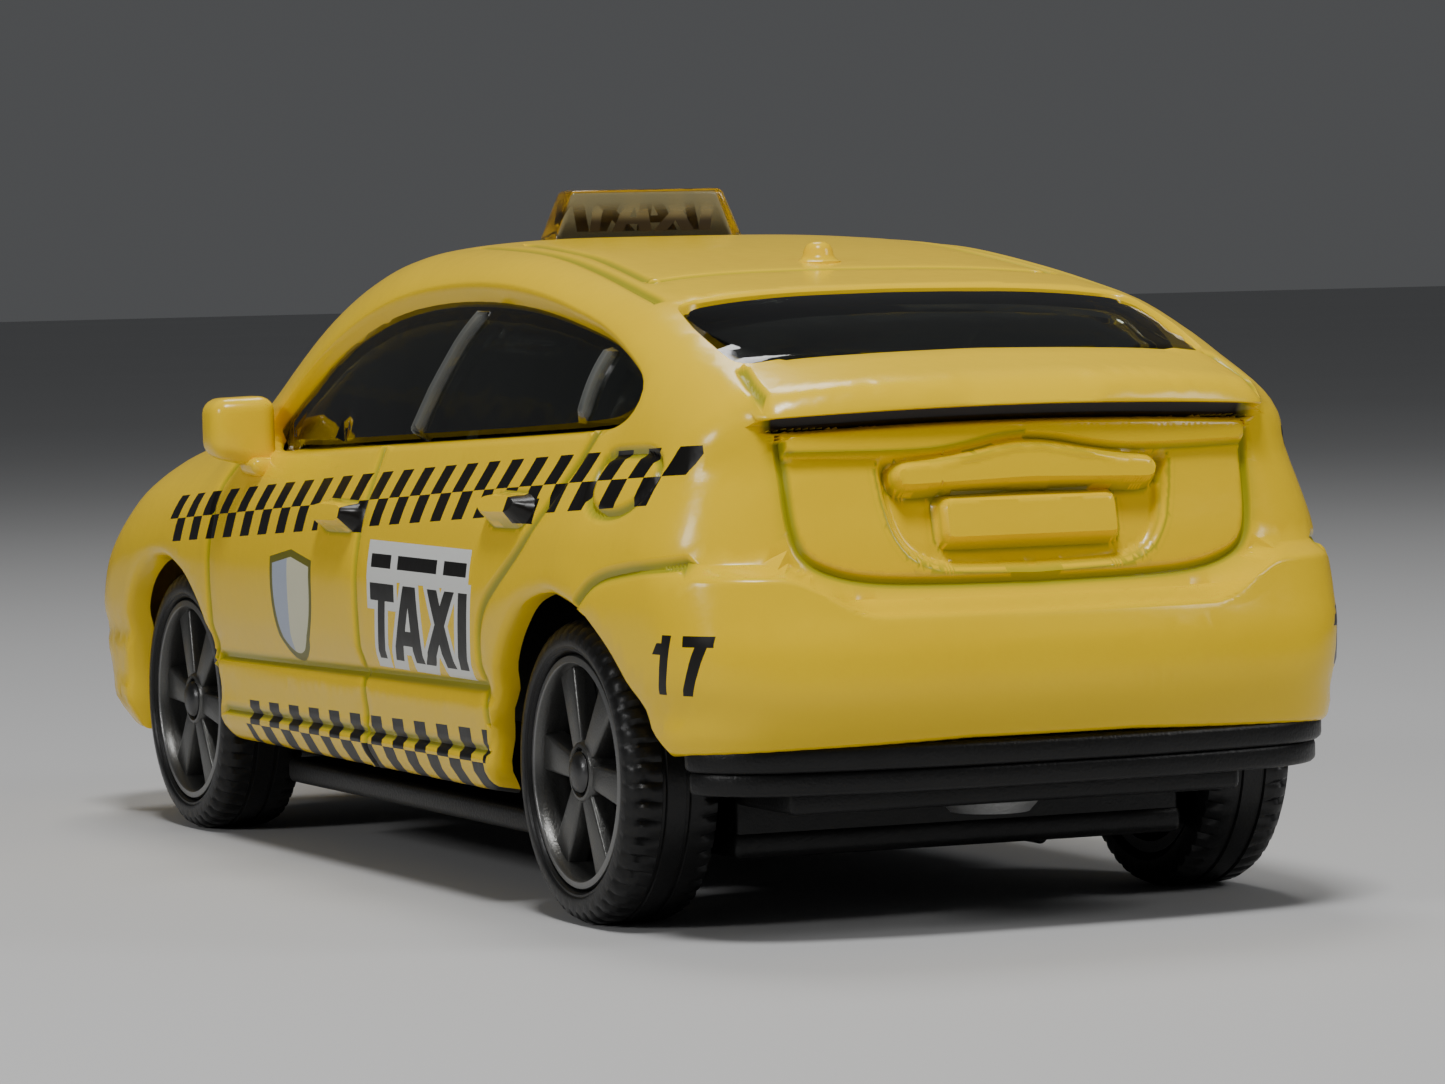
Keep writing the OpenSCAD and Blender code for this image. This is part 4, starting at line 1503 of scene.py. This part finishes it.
def chassis_parts():
    """The floor with its sills, bearings, rear step and strip, and the raised detail underneath."""
    low, high = box_mm("base_plate")
    floor = low[2]
    top = floor + 1.0
    parts = [slab((-11.3, -14.5, floor), (11.3, 13.2, top), 0.3),
             slab((-8.8, -26.4, floor + 0.02), (8.8, 26.2, top), 0.3),
             slab((-8.6, 25.0, floor + 0.04), (8.6, 30.9, top - 0.04), 0.3),
             slab((-6.0, 26.0, 3.0), (6.0, 31.0, 4.6), 0.25),
             slab((-8.7, -26.3, 2.6), (8.7, -25.4, 5.2), 0.2),
             slab((-8.7, -31.0, 4.32), (8.7, -25.5, 5.28), 0.25),
             *[slab((x - 0.5, -11.0, floor - 0.28), (x + 0.5, 11.0, floor + 0.5), 0.12) for x in (-7.1, 7.1)],
             slab((-2.4, 3.5, floor - 0.35), (2.4, 11.0, floor + 0.5), 0.16),
             slab((-1.5, -8.0, floor - 0.28), (1.5, 3.8, floor + 0.5), 0.12),
             rod((3.9, -10.5, floor - 0.1), (3.9, -4.0, floor - 0.1), 0.75),
             rod((3.9, -5.0, floor), (2.2, 5.0, floor), 0.32),
             rod((3.9, -24.8, floor + 0.05), (3.9, -10.0, floor + 0.05), 0.32)]
    parts += [strip_layer(*layer) for layer in STRIP_LAYERS]
    for end in ENDS:
        low, high = box_mm(f"axle_{end}")
        y = (low[1] + high[1]) / 2
        for x in (-7.1, 7.1):
            for front, back in ((-1.9, -0.7), (0.7, 1.9)):
                parts.append(slab((x - 1.6, y + front, top - 0.1), (x + 1.6, y + back, 5.9), 0.15))
    return parts


class TAXI_OT_chassis(bpy.types.Operator):
    """Build the black chassis moulding"""
    bl_idname = "taxi.chassis"
    bl_label = "Chassis"

    def execute(self, context):
        chassis = joined("chassis_moulding", chassis_parts())
        smooth(chassis, 35)
        material = black_plastic("chassis_plastic", context.scene.taxi_trim.chassis, 0.3)
        finish_piece(chassis, "car", "chassis_plastic", material, "base_plate")
        return {"FINISHED"}


def zinc(settings):
    """Pressed zinc rivet head with a cloudy matt skin."""
    look = Look("rivet_zinc")
    cloud = look.noise(2.5, 4.0)
    fine = look.noise(12.0, 3.0)
    base = look.mix(cloud, tuple(settings.metal), (0.36, 0.36, 0.35, 1))
    return look.shade(Base_Color=base, Metallic=0.9, Roughness=cloud * 0.2 + 0.35,
                      Normal=look.bump(fine + cloud, 0.03))


class TAXI_OT_finishes(bpy.types.Operator):
    """Give the frame's own rivets and cabin tray their finishes"""
    bl_idname = "taxi.finishes"
    bl_label = "Finishes"

    def execute(self, context):
        trim = context.scene.taxi_trim
        finishes = {"rivet_front": zinc(trim)}
        finishes["interior_tray"] = black_plastic("cabin_plastic", trim.cabin, 0.45)
        finishes["rivet_rear"] = finishes["rivet_front"]
        for node, material in finishes.items():
            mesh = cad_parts[node].data
            mesh.materials.clear()
            mesh.materials.append(material)
        return {"FINISHED"}


# ---------------------------------------------------------------- stage and panel

# Soft boxes: place, edge length and power
STUDIO = [((-50, -110, 250), 60, 0.50), ((-240, -70, 120), 50, 0.15), ((150, -140, 130), 60, 0.09),
          ((40, 120, 260), 90, 0.24)]
CAMERA = (-92.61, -217.40, 23.87)
CAMERA_YAW = 23.624
CAMERA_PITCH = -2.832
CAMERA_ROLL = -1.183
CAMERA_LENS = 149.7
CAMERA_SENSOR = 36
FLOOR_TONES = (0.52, 0.52, 0.52, 1), (0.56, 0.56, 0.56, 1)
SKY = (0.80, 0.82, 0.85, 1)
SKY_STRENGTH = 0.10
AIM = (0, 0, 12)


def set_camera():
    """Adds the camera at its place, turned by its yaw, pitch and roll."""
    bpy.ops.object.camera_add()
    camera = bpy.context.object
    camera.name = "camera"
    yaw, pitch, roll = (math.radians(v) for v in (CAMERA_YAW, CAMERA_PITCH, CAMERA_ROLL))
    ahead = Vector((math.sin(yaw) * math.cos(pitch), math.cos(yaw) * math.cos(pitch), math.sin(pitch)))
    level = Vector((math.cos(yaw), -math.sin(yaw), 0))
    upright = level.cross(ahead)
    across = level * math.cos(roll) + upright * math.sin(roll)
    up = upright * math.cos(roll) - level * math.sin(roll)
    turn = Matrix((across, up, -ahead)).transposed().to_4x4()
    camera.matrix_world = Matrix.Translation(Vector(CAMERA) * MM) @ turn
    camera.data.lens = CAMERA_LENS
    camera.data.sensor_width = CAMERA_SENSOR
    camera.data.clip_start = 1 * MM
    bpy.context.scene.camera = camera


class TAXI_OT_stage(bpy.types.Operator):
    """Set the pale floor, the soft lights and the camera"""
    bl_idname = "taxi.stage"
    bl_label = "Stage"

    def execute(self, context):
        deselect()
        bpy.ops.mesh.primitive_plane_add(size=4)
        floor = context.object
        floor.name = "floor"
        look = Look("pale_floor")
        tone = look.mix(look.noise(0.01, 2.0), *FLOOR_TONES)
        floor.data.materials.append(look.shade(Base_Color=tone, Roughness=0.7))
        world = bpy.data.worlds.new("studio")
        context.scene.world = world
        world.use_nodes = True
        sky = world.node_tree.nodes["Background"]
        sky.inputs["Color"].default_value = SKY
        sky.inputs["Strength"].default_value = SKY_STRENGTH
        for place, edge, power in STUDIO:
            bpy.ops.object.light_add(type="AREA", location=Vector(place) * MM)
            lamp = context.object
            lamp.data.size = edge * MM
            lamp.data.energy = power
            lamp.rotation_euler = (Vector(AIM) - Vector(place)).to_track_quat("-Z", "Y").to_euler()
        set_camera()
        return {"FINISHED"}


PIECES = [TAXI_OT_stage, TAXI_OT_shell, TAXI_OT_windows, TAXI_OT_wheels, TAXI_OT_axles, TAXI_OT_sign,
          TAXI_OT_chassis, TAXI_OT_finishes]
SETTINGS = [ShellSettings, WheelSettings, TrimSettings]


class TAXI_PT_panel(bpy.types.Panel):
    """Lists the steps that build the taxi"""
    bl_idname = "TAXI_PT_panel"
    bl_label = "Diecast taxi"
    bl_space_type = "VIEW_3D"
    bl_region_type = "UI"
    bl_category = "Taxi"

    def draw(self, context):
        for group in ("taxi_shell", "taxi_wheels", "taxi_trim"):
            settings = getattr(context.scene, group)
            box = self.layout.box()
            for name in settings.__annotations__:
                box.prop(settings, name)
        for step in PIECES:
            self.layout.operator(step.bl_idname)


def register():
    for kind in SETTINGS + PIECES + [TAXI_PT_panel]:
        bpy.utils.register_class(kind)
    bpy.types.Scene.taxi_shell = PointerProperty(type=ShellSettings)
    bpy.types.Scene.taxi_wheels = PointerProperty(type=WheelSettings)
    bpy.types.Scene.taxi_trim = PointerProperty(type=TrimSettings)


def unregister():
    del bpy.types.Scene.taxi_trim
    del bpy.types.Scene.taxi_wheels
    del bpy.types.Scene.taxi_shell
    for kind in reversed(SETTINGS + PIECES + [TAXI_PT_panel]):
        bpy.utils.unregister_class(kind)


def main():
    register()
    for step in PIECES:
        family, name = step.bl_idname.split(".")
        getattr(getattr(bpy.ops, family), name)()


if __name__ == "__main__":
    main()
